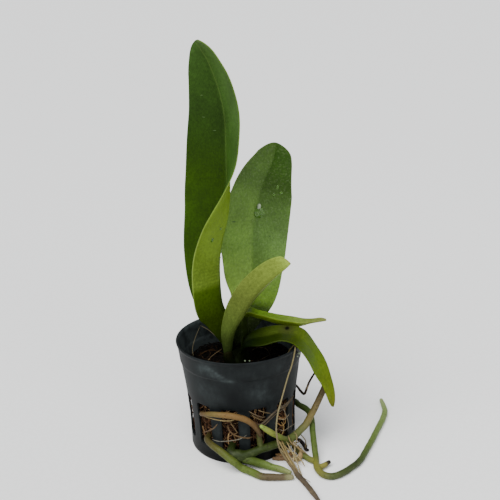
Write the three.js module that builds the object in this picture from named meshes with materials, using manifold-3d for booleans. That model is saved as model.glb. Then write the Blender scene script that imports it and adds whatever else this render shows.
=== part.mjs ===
import * as THREE from 'three';
import { mergeVertices } from 'three/addons/utils/BufferGeometryUtils.js';
import Module from 'manifold-3d';

// A young strap-leaved orchid, grown in coir in a slotted basket pot.
// Millimetres, +Z up. The origin is the centre of the pot's underside, on the surface it
// stands on. Azimuths are in degrees about +Z, from the front (-Y) towards the right (+X).

const wasm = await Module();
wasm.setup();

const DEG = Math.PI / 180;
const CLEARANCE = 0.35;

// ---- driving dimensions -------------------------------------------------------------

const pot = {
  height: 67,
  wall: 1.0,
  floor: 1.4,
  facets: 60,
  // outer radius and height, from the foot up to the rolled rim
  outside: [
    [30.5, 0], [31.3, 1], [31.6, 20], [32.8, 35.5], [35.2, 54.6], [35.7, 55.2], [36.6, 63],
    [37.5, 66],
  ],
  rimRadius: 37.4,
  slots: 12,
  firstSlot: -43,
  slotWidth: 10,
  slotBottom: 9,
  slotTop: 35.5,
  slotCorner: 1.5,
  cutFrom: 26,
  cutTo: 38,
  drains: 8,
  drainRadius: 2.5,
  drainCircle: 16,
};

const coir = {
  bottom: pot.floor + CLEARANCE,
  top: 51.5,
  sideHeights: [14, 28, 42],
  topRings: [1, 0.8, 0.55, 0.28],
  edgeDrop: 1,
  hollows: 1.4,
  bumps: 1.3,
  facets: 24,
  strandRadius: 0.6,
  strandSteps: 4,
  topStrands: 18,
  slotStrands: 2,
  seed: 7,
};
// Strands over the top: how far out they start, their length, how deep the ends are sunk, how
// far the middle strays sideways, how high it rises, and how clear of the wall they stay.
const topStrand = {
  startShare: [0.35, 0.85], length: [10, 22], sunk: 1.5, stray: 2, rise: [1.8, 3.4], clear: 1.5,
};
// Strands in the slots: how far from the slot's ends, half their width as an angle, the slant
// from end to end, how far they bulge past the plug, and how deep the ends are sunk.
const slotStrand = { fromEnds: 6, halfAngle: 5.5, slant: 4, bulge: [0.8, 1.6], sunk: 1.8 };

const crown = {
  centre: [-1.5, 2, 53.5],
  radii: [9.5, 10.5, 6.5],
  stemRadius: 5,
  stemTaper: 0.8,
  stemFoot: 38,
};

// Each leaf runs along its keel through stations of
// [x, y, z, half width, azimuth and elevation the upper face looks to, fold of each half].
// keelBend is the radius of the rounded keel, and tip the share of the length that rounds off.
const leaves = {
  leaf_tall: {
    keelBend: 3, tip: 0.1, steps: 26, color: 0x2f5a1c,
    stations: [
      [-4.5, 3, 56, 3, -105, 0, 66], [-7.5, 3, 77, 13.5, -94, 0, 70], [-10.5, 3, 91, 19, -82, 0, 64],
      [-10, 3.5, 117, 22, -74, 0, 60], [-4, 4.5, 143.5, 26, -64, 0, 49], [-3, 6, 170.5, 24.5, -48, 0, 32],
      [-3.5, 8, 199, 21.5, -44, 0, 25], [-10, 10, 222.5, 13.5, -38, 0, 28],
      [-17.5, 11.5, 235.5, 8, -45, 0, 30],
    ],
  },
  leaf_back: {
    keelBend: 4, tip: 0.1, steps: 22, color: 0x3c6a2a,
    stations: [
      [-1.5, 9.5, 53.5, 3, 0, 0, 38], [2, 13, 69, 8.5, 5, 0, 26], [8, 16.5, 87, 15, 12, 0, 19],
      [8.5, 19, 105, 19.5, 18, 0, 15], [10, 20, 129, 21.5, 18, -4, 14], [15.5, 21, 150, 19, 16, -6, 14],
      [22.5, 22, 166, 12, 6, -2, 12], [25, 23, 176, 7, 4, 0, 10],
    ],
  },
  leaf_young: {
    keelBend: 2.5, tip: 0.1, steps: 18, color: 0x5f7426,
    stations: [
      [-7, -6.5, 57, 2.4, 216, 0, 49], [-4.5, -9, 72.5, 6.4, 212, 0, 45], [1.5, -11, 84.5, 9.8, 213, 0, 43],
      [8.5, -11.5, 96.5, 10, 211, 0, 40], [18, -11, 105.5, 10, 215, 9, 39], [26, -9.5, 111.5, 8, 219, 17, 37],
      [30, -8.5, 115, 5.2, 222, 23, 37],
    ],
  },
  leaf_small: {
    keelBend: 1.8, tip: 0.08, steps: 24, color: 0x5f8f2c,
    stations: [
      [1.5, 3.5, 56, 2.5, -90, 0, 50], [4, 3.5, 65.5, 3.6, -90, 14, 50], [5, 3.5, 78, 4.6, -90, 43, 50],
      [11, 3, 77.5, 4.4, -90, 72, 50], [22.5, 2.5, 73.5, 5.5, -90, 88, 47], [33.5, 2, 71.5, 5.5, -90, 90, 45],
      [42, 1.5, 73.3, 2.8, -90, 90, 39], [51, 1.5, 74.5, 2.5, -90, 90, 31],
    ],
  },
  leaf_arching: {
    keelBend: 4, tip: 0.1, steps: 22, color: 0x4a7a26,
    stations: [
      [1, -4, 57, 2.8, -90, 40, 20], [5, -7, 66, 6, -78, 58, 12], [15, -10.5, 70, 9.5, -48, 74, 6],
      [26, -13, 72.5, 10, -15, 88, 4], [35, -14, 69.5, 10.3, 5, 82, 3], [43, -14.5, 57, 8.4, 20, 78, 4],
      [49.5, -15.5, 42, 4.5, 34, 56, 5], [53, -17, 27.5, 3.2, 44, 39, 15],
    ],
  },
};
// Blade thickness at the keel and at the margin, the share of the keel's that is left at the tip,
// and the half width that the tip ends in. Each half has a few columns, closer near the keel.
const blade = { atKeel: 2.2, atMargin: 0.9, tipShare: 0.6, tipHalf: 0.6, columns: 3, crowding: 1.4 };

// Each root is one or more runs of [x, y, z, radius]; the runs after the first branch from it.
// A root's rounded end has rings at these shares of its radius, out from the end and across.
const endRings = [[0.5, 0.87], [0.9, 0.45]];
const roots = {
  root_tan: {
    sides: 8, spacing: 4.5, color: 0xb98a4e,
    runs: [[
      [-15.5, -14.5, 27, 1.5], [-23, -22, 28.8, 1.5], [-20.5, -27.8, 31.5, 1.6], [-15, -31.8, 33.3, 1.7],
      [-5.7, -35.3, 33.9, 1.75], [1.4, -36, 32, 1.75], [6.9, -35.4, 27.2, 1.7], [10, -34.2, 20.5, 1.4],
    ]],
  },
  root_front: {
    sides: 8, spacing: 5, color: 0x6f7d35,
    runs: [[
      [-13, -14, 15, 1.8], [-20.6, -24.5, 14.2, 1.8], [-17.5, -30.9, 13, 1.9], [-12.4, -35.7, 11.5, 2.1],
      [-6.7, -39.8, 8.4, 2.2], [-1.2, -39.4, 3, 2.1], [4.6, -43.2, 2.4, 2.1], [10.2, -47.5, 2.3, 2.1],
      [18.7, -48.7, 2.2, 1.9], [26.4, -48.6, 1.9, 1.5],
    ]],
  },
  root_forked: {
    sides: 8, spacing: 5, color: 0x5d7a30,
    runs: [
      [
        [-3, -18, 14, 2], [-6.5, -31, 11.5, 2.1], [-6.4, -34, 10.5, 2.4], [-2.2, -35.3, 8.7, 2.6],
        [2, -35.5, 8.7, 2.3], [10.1, -33.9, 11.3, 2.2], [19.7, -29.4, 11.5, 2.2], [27.3, -24.2, 11.3, 2.2],
        [33.7, -18, 13.4, 2.1], [38.1, -14.5, 16.8, 2.1], [44.2, -10, 26.1, 1.9], [48.3, -7, 33.6, 1.8],
        [49.9, -6, 37.2, 1.5],
      ],
      [
        [-2.2, -35.3, 8.7, 2.3], [3.4, -37.3, 7.5, 2.2], [10.5, -36.5, 2.8, 2.2], [16.2, -38.7, 2.4, 1.9],
        [21.5, -41.4, 2.2, 1.7], [25.6, -44.2, 2.1, 1.3],
      ],
      [
        [25.9, -25.7, 11.6, 1.6], [21.8, -30.2, 16.1, 1.6], [17.6, -33.5, 20.5, 1.6],
        [13.8, -35.6, 24.5, 1.5], [10.8, -37.6, 28, 1.1],
      ],
    ],
  },
  root_right: {
    sides: 8, spacing: 5.5, color: 0x74884a,
    runs: [
      [
        [20, 6, 18, 1.7], [31, 9, 18, 1.7], [34.3, 4, 17.9, 1.8], [38.8, -2, 17.7, 1.8],
        [40.9, -7, 15.4, 1.8], [41.1, -14, 10.7, 1.8], [41.2, -22, 6.8, 1.8], [41.5, -29.5, 3.2, 1.8],
        [41.3, -34.6, 2.3, 1.9],
        [41.6, -41.1, 2.2, 2], [43.7, -46.9, 2.1, 1.9], [48.3, -49.6, 2.1, 1.9], [54.1, -47.4, 2.1, 1.9],
        [61, -41.2, 2.1, 1.8], [66.7, -34.2, 2.1, 1.8], [71.7, -23.7, 2.1, 1.8], [76.1, -13.9, 2.1, 1.8],
        [81.9, -0.2, 2.1, 1.8], [86.9, 11.8, 2, 1.8], [89.8, 22.2, 1.9, 1.7], [89.7, 35.9, 1.6, 1.2],
      ],
      [
        [41.3, -34.6, 2.3, 1.7], [37.8, -31.5, 2.1, 1.7], [34.4, -26.2, 2.1, 1.8], [31.5, -21.9, 2.6, 1.7],
        [29.3, -19.7, 3.2, 1.2],
      ],
      [[41.6, -41.1, 2.2, 1.7], [45.6, -38.6, 2.3, 1.5], [48.6, -36, 2.6, 1.1]],
    ],
  },
  root_dry: {
    sides: 6, spacing: 5, color: 0x8f6b43,
    runs: [[
      [22, -13, 50, 0.6], [27, -16.5, 62, 0.6], [31.3, -19.6, 69, 0.6], [30.2, -27.4, 65.6, 0.65],
      [28.4, -29.8, 60, 0.65], [26.4, -32, 55.4, 0.65], [22.4, -35.6, 43.3, 0.65], [20, -37.2, 34.8, 0.65],
      [19, -37.5, 25.4, 0.65], [20.2, -36.8, 14.3, 0.65], [23.6, -37.1, 6.8, 0.65], [27.6, -42.7, 3.6, 0.9],
      [30.2, -47.2, 1.9, 1.5], [33.8, -55, 1.7, 1.5], [37.3, -64.4, 1.7, 1.4], [40.4, -72.9, 1.4, 0.9],
    ]],
  },
  root_twig: {
    sides: 6, spacing: 3.5, color: 0x4a3a28,
    runs: [[
      [20, 7, 26, 0.7], [31.2, 9.3, 28.5, 0.7], [33.5, 7.8, 28.5, 0.7], [35.5, 6.5, 26, 0.8],
      [37.7, 5, 24.7, 0.8], [39.3, 4, 29.1, 0.7], [40.8, 3, 33.8, 0.7], [43.5, 2, 39.3, 0.6],
      [45.3, 1, 42.4, 0.5],
    ]],
  },
};

// ---- helpers ------------------------------------------------------------------------

// A closed mesh as a solid that can be joined and cut: shared vertices are merged, and the
// empty triangles that a lathe leaves on its axis are dropped.
function solidOf(geometry) {
  const bare = geometry.clone();
  bare.deleteAttribute('normal');
  bare.deleteAttribute('uv');
  const merged = mergeVertices(bare, 1e-4);
  const corners = merged.index.array;
  const kept = [];
  for (let i = 0; i < corners.length; i += 3) {
    const [a, b, c] = [corners[i], corners[i + 1], corners[i + 2]];
    if (a !== b && b !== c && c !== a) kept.push(a, b, c);
  }
  return new wasm.Manifold(new wasm.Mesh({
    numProp: 3,
    vertProperties: new Float32Array(merged.attributes.position.array),
    triVerts: new Uint32Array(kept),
  }));
}

// The largest body of a solid as a geometry; scraps that a cut leaves loose are dropped.
function geometryOf(solid) {
  const bodies = solid.decompose().sort((a, b) => b.volume() - a.volume());
  const { vertProperties, triVerts } = bodies[0].getMesh();
  const geometry = new THREE.BufferGeometry();
  geometry.setAttribute('position', new THREE.BufferAttribute(vertProperties, 3));
  geometry.setIndex(new THREE.BufferAttribute(triVerts, 1));
  geometry.computeVertexNormals();
  return geometry;
}

// A skin over a row of rings with the same even number of points, closed at both ends by
// strips across the ring. Both halves of the ring are split along the same diagonals, so the
// two faces of a thin blade stay apart.
function skin(rings) {
  const count = rings[0].length;
  const last = (rings.length - 1) * count;
  const corners = [];
  for (let i = 0; i < last; i += count) {
    for (let j = 0; j < count; j++) {
      const a = i + j;
      const b = i + (j + 1) % count;
      if (j < count / 2) corners.push(a, b, b + count, a, b + count, a + count);
      else corners.push(a, b, a + count, b, b + count, a + count);
    }
  }
  for (let j = 0; j < count / 2 - 1; j++) {
    const far = count - 1 - j;
    corners.push(j, far, far - 1, j, far - 1, j + 1);
    corners.push(last + j, last + far - 1, last + far, last + j, last + j + 1, last + far - 1);
  }
  const geometry = new THREE.BufferGeometry();
  geometry.setAttribute('position', new THREE.BufferAttribute(
    new Float32Array(rings.flat().flatMap((point) => point.toArray())), 3));
  geometry.setIndex(corners);
  geometry.computeVertexNormals();
  return geometry;
}

function curveThrough(triples) {
  return new THREE.CatmullRomCurve3(triples.map((t) => new THREE.Vector3(...t)), false, 'catmullrom', 0.5);
}

// Repeatable random numbers from 0 to 1.
function randomFrom(seed) {
  let state = seed;
  return () => {
    state = (state * 16807) % 2147483647;
    return state / 2147483647;
  };
}

function between(random, [low, high]) {
  return low + (high - low) * random();
}

// A point at an azimuth, radius and height.
function atAzimuth(azimuth, radius, z) {
  return new THREE.Vector3(radius * Math.sin(azimuth * DEG), -radius * Math.cos(azimuth * DEG), z);
}

// ---- pot ----------------------------------------------------------------------------

function wallRadius(z) {
  const upper = pot.outside.findIndex((point) => point[1] >= z);
  const [r1, z1] = pot.outside[upper];
  const [r0, z0] = pot.outside[Math.max(upper - 1, 0)];
  return z1 === z0 ? r1 : r0 + (r1 - r0) * (z - z0) / (z1 - z0);
}

function potGeometry() {
  const profile = [[0, 0], ...pot.outside, [pot.rimRadius, pot.height]];
  profile.push([pot.rimRadius - pot.wall, pot.height]);
  for (const z of [55.2, 35.5, 20, pot.floor]) {
    profile.push([wallRadius(z) - pot.wall, z]);
  }
  profile.push([0, pot.floor]);
  const shell = new THREE.LatheGeometry(
    profile.map(([r, z]) => new THREE.Vector2(r, z)),
    pot.facets,
    pot.firstSlot * DEG,
    2 * Math.PI,
  );
  shell.rotateX(Math.PI / 2);
  const cutters = wasm.Manifold.union([...slotCutters(), ...drainCutters()]);
  return geometryOf(solidOf(shell).subtract(cutters));
}

// Upright rounded slots, cut outwards through the wall.
function slotCutters() {
  const [w, h, r] = [pot.slotWidth / 2, (pot.slotTop - pot.slotBottom) / 2, pot.slotCorner];
  const outline = new THREE.Shape();
  outline.absarc(w - r, h - r, r, 0, Math.PI / 2);
  outline.absarc(r - w, h - r, r, Math.PI / 2, Math.PI);
  outline.absarc(r - w, r - h, r, Math.PI, 1.5 * Math.PI);
  outline.absarc(w - r, r - h, r, 1.5 * Math.PI, 2 * Math.PI);
  const cutters = [];
  for (let i = 0; i < pot.slots; i++) {
    const cutter = new THREE.ExtrudeGeometry(outline, {
      depth: pot.cutTo - pot.cutFrom, bevelEnabled: false, curveSegments: 2,
    });
    cutter.rotateX(Math.PI / 2);
    cutter.translate(0, -pot.cutFrom, (pot.slotTop + pot.slotBottom) / 2);
    cutter.rotateZ((pot.firstSlot + i * 360 / pot.slots) * DEG);
    cutters.push(solidOf(cutter));
  }
  return cutters;
}

function drainCutters() {
  const cutters = [];
  for (let i = 0; i < pot.drains; i++) {
    const cutter = new THREE.CylinderGeometry(pot.drainRadius, pot.drainRadius, 4 * pot.floor, 12);
    cutter.rotateX(Math.PI / 2);
    cutter.translate(0, -pot.drainCircle, 0);
    cutter.rotateZ((i + 0.5) * 360 / pot.drains * DEG);
    cutters.push(solidOf(cutter));
  }
  return cutters;
}

// ---- leaves -------------------------------------------------------------------------

// The blade's section at a distance from the keel: how far out and how far up it has come, and
// its slope there, on a round keel that turns until it reaches the fold.
function halfSection(distance, fold, bend) {
  const slope = Math.min(distance / bend, fold);
  const straight = distance - bend * slope;
  return {
    out: bend * Math.sin(slope) + straight * Math.cos(fold),
    up: bend * (1 - Math.cos(slope)) + straight * Math.sin(fold),
    slope,
  };
}

function leafGeometry(leaf, grow = 0) {
  const keel = curveThrough(leaf.stations.map(([x, y, z]) => [x, y, z]));
  const form = curveThrough(leaf.stations.map(([, , , half, , , fold]) => [half, fold, 0]));
  const facing = curveThrough(leaf.stations.map(([, , , , azimuth, elevation]) => [azimuth, elevation, 0]));
  const rings = [];
  for (let i = 0; i <= leaf.steps; i++) {
    const t = i / leaf.steps;
    const along = keel.getTangent(t);
    const centre = keel.getPoint(t);
    if (i === 0) centre.addScaledVector(along, -grow);
    if (i === leaf.steps) centre.addScaledVector(along, grow);
    const [half, fold] = form.getPoint(t).toArray();
    const rounding = Math.sqrt(1 - Math.max(0, (t - (1 - leaf.tip)) / leaf.tip) ** 2);
    const width = Math.max(half * rounding, blade.tipHalf) + grow;
    const [azimuth, elevation] = facing.getPoint(t).toArray();
    const face = atAzimuth(azimuth, Math.cos(elevation * DEG), Math.sin(elevation * DEG));
    const normal = face.addScaledVector(along, -face.dot(along)).normalize();
    const side = new THREE.Vector3().crossVectors(along, normal);
    const atKeel = Math.max(blade.atMargin, blade.atKeel * (1 - (1 - blade.tipShare) * t));
    const upper = [];
    const lower = [];
    for (let j = -blade.columns; j <= blade.columns; j++) {
      const share = (Math.abs(j) / blade.columns) ** blade.crowding;
      const { out, up, slope } = halfSection(width * share, fold * DEG, leaf.keelBend);
      const sign = Math.sign(j);
      const thickness = blade.atMargin + (atKeel - blade.atMargin) * (1 - share ** 2) + 2 * grow;
      const middle = centre.clone().addScaledVector(side, sign * out).addScaledVector(normal, up);
      const across = normal.clone().multiplyScalar(Math.cos(slope));
      across.addScaledVector(side, -sign * Math.sin(slope));
      upper.push(middle.clone().addScaledVector(across, thickness / 2));
      lower.push(middle.addScaledVector(across, -thickness / 2));
    }
    rings.push([...upper, ...lower.reverse()]);
  }
  return skin(rings);
}

// ---- roots --------------------------------------------------------------------------

// A tube whose radius changes along its curve, with both ends rounded off.
function rootTube(run, sides, spacing, grow) {
  const path = curveThrough(run.map(([x, y, z]) => [x, y, z]));
  const swelling = curveThrough(run.map(([, , , radius]) => [radius, 0, 0]));
  const steps = Math.max(4, Math.round(path.getLength() / spacing));
  const frames = path.computeFrenetFrames(steps, false);
  const ring = (centre, radius, i) => {
    const points = [];
    for (let j = 0; j < sides; j++) {
      const angle = (j + 0.5) * 2 * Math.PI / sides;
      points.push(centre.clone()
        .addScaledVector(frames.normals[i], radius * Math.cos(angle))
        .addScaledVector(frames.binormals[i], radius * Math.sin(angle)));
    }
    return points;
  };
  const rings = [];
  for (let i = 0; i <= steps; i++) {
    const u = i / steps;
    const radius = swelling.getPoint(path.getUtoTmapping(u)).x + grow;
    const centre = path.getPointAt(u);
    const endRing = ([out, across], way) => {
      const place = centre.clone().addScaledVector(frames.tangents[i], way * out * radius);
      return ring(place, across * radius, i);
    };
    if (i === 0) rings.push(...endRings.map((share) => endRing(share, -1)).reverse());
    rings.push(ring(centre, radius, i));
    if (i === steps) rings.push(...endRings.map((share) => endRing(share, 1)));
  }
  return skin(rings);
}

function rootSolid(root, grow = 0) {
  return wasm.Manifold.union(root.runs.map((run) => solidOf(rootTube(run, root.sides, root.spacing, grow))));
}

// ---- crown --------------------------------------------------------------------------

// The short thick shoot base that the leaves grow from, with its foot in the coir and a
// close-fitting seat for each leaf base.
function crownSolid(grow = 0) {
  const lump = new THREE.SphereGeometry(1, 18, 12);
  lump.rotateX(Math.PI / 2);
  lump.scale(...crown.radii.map((radius) => radius + grow));
  lump.translate(...crown.centre);
  const length = crown.centre[2] - crown.stemFoot + grow;
  const foot = crown.stemRadius * crown.stemTaper;
  const stem = new THREE.CylinderGeometry(crown.stemRadius + grow, foot + grow, length, 12);
  stem.rotateX(Math.PI / 2);
  stem.translate(crown.centre[0], crown.centre[1], crown.centre[2] - length / 2);
  return solidOf(lump).add(solidOf(stem));
}

function crownGeometry() {
  const seats = Object.values(leaves).map((leaf) => solidOf(leafGeometry(leaf, CLEARANCE)));
  return geometryOf(crownSolid().subtract(wasm.Manifold.union(seats)));
}

// ---- coir ---------------------------------------------------------------------------

// A plug of tangled fibre: a lathed body with an uneven top and side, strands laid over its top
// and others that bulge into the pot's slots, and a hole for the crown's foot and each root.
function coirGeometry() {
  const random = randomFrom(coir.seed);
  const strands = [...topStrands(random), ...slotStrands(random)];
  const holes = [crownSolid(CLEARANCE), ...Object.values(roots).map((root) => rootSolid(root, CLEARANCE))];
  const plug = solidOf(plugGeometry(random));
  return geometryOf(wasm.Manifold.union([plug, ...strands]).subtract(wasm.Manifold.union(holes)));
}

function coirRadius(z) {
  return wallRadius(z) - pot.wall - CLEARANCE;
}

function plugGeometry(random) {
  const edge = coirRadius(coir.top);
  const profile = [[0, coir.bottom], [coirRadius(coir.bottom), coir.bottom]];
  for (const z of coir.sideHeights) profile.push([coirRadius(z), z]);
  profile.push([edge, coir.top - coir.edgeDrop - coir.bumps]);
  for (const share of coir.topRings) profile.push([edge * share, coir.top - coir.edgeDrop * share]);
  profile.push([0, coir.top]);
  const lathed = new THREE.LatheGeometry(profile.map(([r, z]) => new THREE.Vector2(r, z)), coir.facets);
  lathed.rotateX(Math.PI / 2);
  lathed.deleteAttribute('normal');
  lathed.deleteAttribute('uv');
  const plug = mergeVertices(lathed, 1e-4);
  const places = plug.attributes.position;
  const rim = coir.top - coir.edgeDrop;
  for (let i = 0; i < places.count; i++) {
    const inward = 1 - coir.hollows * random() / edge;
    const lift = between(random, [-coir.bumps, coir.bumps]);
    const z = places.getZ(i);
    if (z > coir.bottom) places.setXY(i, places.getX(i) * inward, places.getY(i) * inward);
    if (z >= rim) places.setZ(i, z + lift);
  }
  return plug;
}

// A three-sided strand along a smooth curve.
function strand(points) {
  const section = new THREE.Shape();
  for (let i = 0; i < 3; i++) {
    const angle = i * 120 * DEG;
    const corner = [coir.strandRadius * Math.cos(angle), coir.strandRadius * Math.sin(angle)];
    if (i === 0) section.moveTo(...corner);
    else section.lineTo(...corner);
  }
  section.closePath();
  return solidOf(new THREE.ExtrudeGeometry(section, {
    steps: coir.strandSteps, bevelEnabled: false, extrudePath: new THREE.CatmullRomCurve3(points),
  }));
}

// Strands that lie over the top, each a low arch with both ends sunk in.
function topStrands(random) {
  const edge = coirRadius(coir.top);
  const strands = [];
  while (strands.length < coir.topStrands) {
    const out = edge * between(random, topStrand.startShare);
    const start = atAzimuth(360 * random(), out, coir.top - topStrand.sunk);
    const heading = 360 * random();
    const step = atAzimuth(heading, between(random, topStrand.length) / 2, 0);
    const stray = between(random, [-topStrand.stray, topStrand.stray]);
    const bow = atAzimuth(heading + 90, stray, between(random, topStrand.rise));
    const middle = start.clone().add(step).add(bow);
    const end = start.clone().addScaledVector(step, 2);
    const reach = Math.max(...[start, middle, end].map((point) => Math.hypot(point.x, point.y)));
    if (reach < edge - topStrand.clear) strands.push(strand([start, middle, end]));
  }
  return strands;
}

// Strands that bulge outwards into each slot, clear of its sides.
function slotStrands(random) {
  const strands = [];
  for (let i = 0; i < pot.slots; i++) {
    const azimuth = pot.firstSlot + i * 360 / pot.slots;
    for (let k = 0; k < coir.slotStrands; k++) {
      const z = between(random, [pot.slotBottom + slotStrand.fromEnds, pot.slotTop - slotStrand.fromEnds]);
      const slant = between(random, [-slotStrand.slant, slotStrand.slant]) / 2;
      const sunk = coirRadius(z) - slotStrand.sunk;
      strands.push(strand([
        atAzimuth(azimuth - slotStrand.halfAngle, sunk, z - slant),
        atAzimuth(azimuth, coirRadius(z) + between(random, slotStrand.bulge), z),
        atAzimuth(azimuth + slotStrand.halfAngle, sunk, z + slant),
      ]));
    }
  }
  return strands;
}

// ---- assembly -----------------------------------------------------------------------

const pottedOrchid = new THREE.Group();

function addMesh(name, geometry, color, roughness) {
  const mesh = new THREE.Mesh(geometry, new THREE.MeshStandardMaterial({ color, roughness, metalness: 0 }));
  mesh.name = name;
  pottedOrchid.add(mesh);
}

addMesh('pot', potGeometry(), 0x2a2f33, 0.5);
addMesh('coir_medium', coirGeometry(), 0x5a3a24, 0.95);
addMesh('crown', crownGeometry(), 0x5d6b2c, 0.6);
for (const [name, leaf] of Object.entries(leaves)) {
  addMesh(name, leafGeometry(leaf), leaf.color, 0.45);
}
for (const [name, root] of Object.entries(roots)) {
  addMesh(name, geometryOf(rootSolid(root)), root.color, 0.7);
}

export default pottedOrchid;
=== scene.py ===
import math
import bpy
import numpy as np
from mathutils import Matrix


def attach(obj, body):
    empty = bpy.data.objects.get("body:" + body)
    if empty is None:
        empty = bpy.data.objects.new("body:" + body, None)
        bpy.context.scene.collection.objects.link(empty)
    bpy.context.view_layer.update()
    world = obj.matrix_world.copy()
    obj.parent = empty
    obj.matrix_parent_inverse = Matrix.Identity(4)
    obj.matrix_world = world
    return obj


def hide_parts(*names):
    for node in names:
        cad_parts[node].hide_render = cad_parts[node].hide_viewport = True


# A young strap-leaved orchid in coir, in a slotted basket pot. Lengths are in millimetres
# until addMesh turns them to metres. +Z is up, and azimuths run from the front towards +X.

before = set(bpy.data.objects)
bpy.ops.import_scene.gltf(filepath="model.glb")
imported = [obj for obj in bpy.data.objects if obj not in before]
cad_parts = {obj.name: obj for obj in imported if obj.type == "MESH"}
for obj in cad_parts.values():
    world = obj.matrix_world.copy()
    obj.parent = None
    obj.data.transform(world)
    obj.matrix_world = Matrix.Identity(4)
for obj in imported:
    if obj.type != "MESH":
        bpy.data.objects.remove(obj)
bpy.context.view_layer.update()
mm = 0.001

# The camera looks towards +Y, down by its pitch and rolled a little, with angles in degrees.
cameraPlace = dict(position=(7.9, -458.6, 272.4), pitch=18.43, roll=-2.05, lens=61.43, sensor=36, clip=10)

cameraData = bpy.data.cameras.new("camera")
cameraData.lens = cameraPlace["lens"]
cameraData.sensor_width = cameraPlace["sensor"]
cameraData.clip_start = cameraPlace["clip"] * mm
camera = bpy.data.objects.new("camera", cameraData)
bpy.context.scene.collection.objects.link(camera)
tilt = Matrix.Rotation(math.radians(90 - cameraPlace["pitch"]), 3, "X")
roll = Matrix.Rotation(math.radians(cameraPlace["roll"]), 3, "Z")
camera.rotation_euler = (tilt @ roll).to_euler()
camera.location = [length * mm for length in cameraPlace["position"]]
bpy.context.scene.camera = camera

# A broad soft sun from high at the front left, a wide weak lamp from the front right, and an
# even sky. Angles are in degrees.
sunLight = dict(elevation=56, azimuth=-35, distance=1000, strength=4.6, spread=55)
fillLight = dict(position=(420, -620, 380), aim=(0, 0, 90), size=500, power=2.0)
worldLight = dict(colour="#f4f8ff", strength=0.5)


def aimed(position, aim):
    # a light looks down its own -Z, so its Z axis points from the aim to the light
    away = np.array(position, float) - np.array(aim, float)
    side = np.cross((0, 0, 1), away)
    side /= np.linalg.norm(side)
    away /= np.linalg.norm(away)
    return Matrix(np.column_stack([side, np.cross(away, side), away]).tolist()).to_4x4()


def addLight(name, kind, position, aim):
    # a light of one kind, in its place and turned to its aim
    data = bpy.data.lights.new(name, kind)
    lamp = bpy.data.objects.new(name, data)
    bpy.context.scene.collection.objects.link(lamp)
    lamp.matrix_world = aimed(position, aim)
    lamp.location = [length * mm for length in position]
    return data


sunHigh, sunTurn = math.radians(sunLight["elevation"]), math.radians(sunLight["azimuth"])
sunWay = (math.cos(sunHigh) * math.sin(sunTurn), -math.cos(sunHigh) * math.cos(sunTurn), math.sin(sunHigh))
sun = addLight("sun", "SUN", [sunLight["distance"] * step for step in sunWay], (0, 0, 0))
sun.energy = sunLight["strength"]
sun.angle = math.radians(sunLight["spread"])
fill = addLight("fill", "AREA", fillLight["position"], fillLight["aim"])
fill.size = fillLight["size"] * mm
fill.energy = fillLight["power"]


def linearColour(hexColour):
    # each sRGB channel c becomes ((c + 0.055) / 1.055) ** 2.4, or c / 12.92 where it is dark
    channels = np.array([int(hexColour[i:i + 2], 16) for i in (1, 3, 5)]) / 255
    linear = np.where(channels > 0.04045, ((channels + 0.055) / 1.055) ** 2.4, channels / 12.92)
    return (*linear.tolist(), 1.0)


def addNode(material, kind, inputs=(), out=None, stops=None, **settings):
    # One node with its settings. Its inputs are values, hex colours or links, by name or in the
    # order in which Blender shows them, and a ramp's stops are places and hex colours. It gives
    # back the output named, or else the first that is shown.
    node = material.node_tree.nodes.new("ShaderNode" + kind)
    for setting, value in settings.items():
        setattr(node, setting, value)
    if isinstance(inputs, dict):
        given = [(node.inputs[socketName], value) for socketName, value in inputs.items()]
    else:
        given = zip([socket for socket in node.inputs if socket.enabled], inputs)
    for socket, value in given:
        if isinstance(value, bpy.types.NodeSocket):
            material.node_tree.links.new(value, socket)
        else:
            socket.default_value = linearColour(value) if isinstance(value, str) else value
    for number, (position, tone) in enumerate(stops or []):
        ramp = node.color_ramp.elements
        element = ramp[number] if number < len(ramp) else ramp.new(1.0)
        element.position, element.color = position, linearColour(tone)
    return node.outputs[out] if out else next(socket for socket in node.outputs if socket.enabled)


def addMaterial(name, **surface):
    # a Principled surface with plain values on its own sockets, and the place on the object that
    # its patterns read
    material = bpy.data.materials.new(name)
    material.use_nodes = True
    shader = material.node_tree.nodes["Principled BSDF"]
    for socket, value in surface.items():
        shader.inputs[socket.replace("_", " ")].default_value = value
    return material, shader, addNode(material, "TexCoord", out="Object")


def linked(material, shader, **patterns):
    # the material once each pattern is linked to the surface's own socket of that name
    for socket, pattern in patterns.items():
        material.node_tree.links.new(pattern, shader.inputs[socket.replace("_", " ")])
    return material


noiseReach = (0.3, 0.7)  # most of a noise lies between these


def perMetre(size):
    # a noise whose features are this many millimetres across, as a scale on Object coordinates
    return 1000 / size


def addMesh(name, points, faces, material, attributes=None):
    # points in millimetres and faces of any size become one smooth-shaded mesh object
    mesh = bpy.data.meshes.new(name)
    mesh.from_pydata((np.asarray(points) * mm).tolist(), [], faces)
    mesh.polygons.foreach_set("use_smooth", np.ones(len(mesh.polygons), bool))
    for label, values in (attributes or {}).items():
        layer = mesh.attributes.new(label, "FLOAT_VECTOR", "POINT")
        layer.data.foreach_set("vector", np.ascontiguousarray(values, np.float32).ravel())
    mesh.materials.append(material)
    mesh.validate()
    piece = bpy.data.objects.new(name, mesh)
    bpy.context.scene.collection.objects.link(piece)
    return piece


def finishPiece(piece, slotName, *nodes):
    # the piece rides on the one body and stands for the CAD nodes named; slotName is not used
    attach(piece, "root")
    if nodes:
        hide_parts(*nodes)
    print("made", piece.name, len(piece.data.polygons), "faces")


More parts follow.
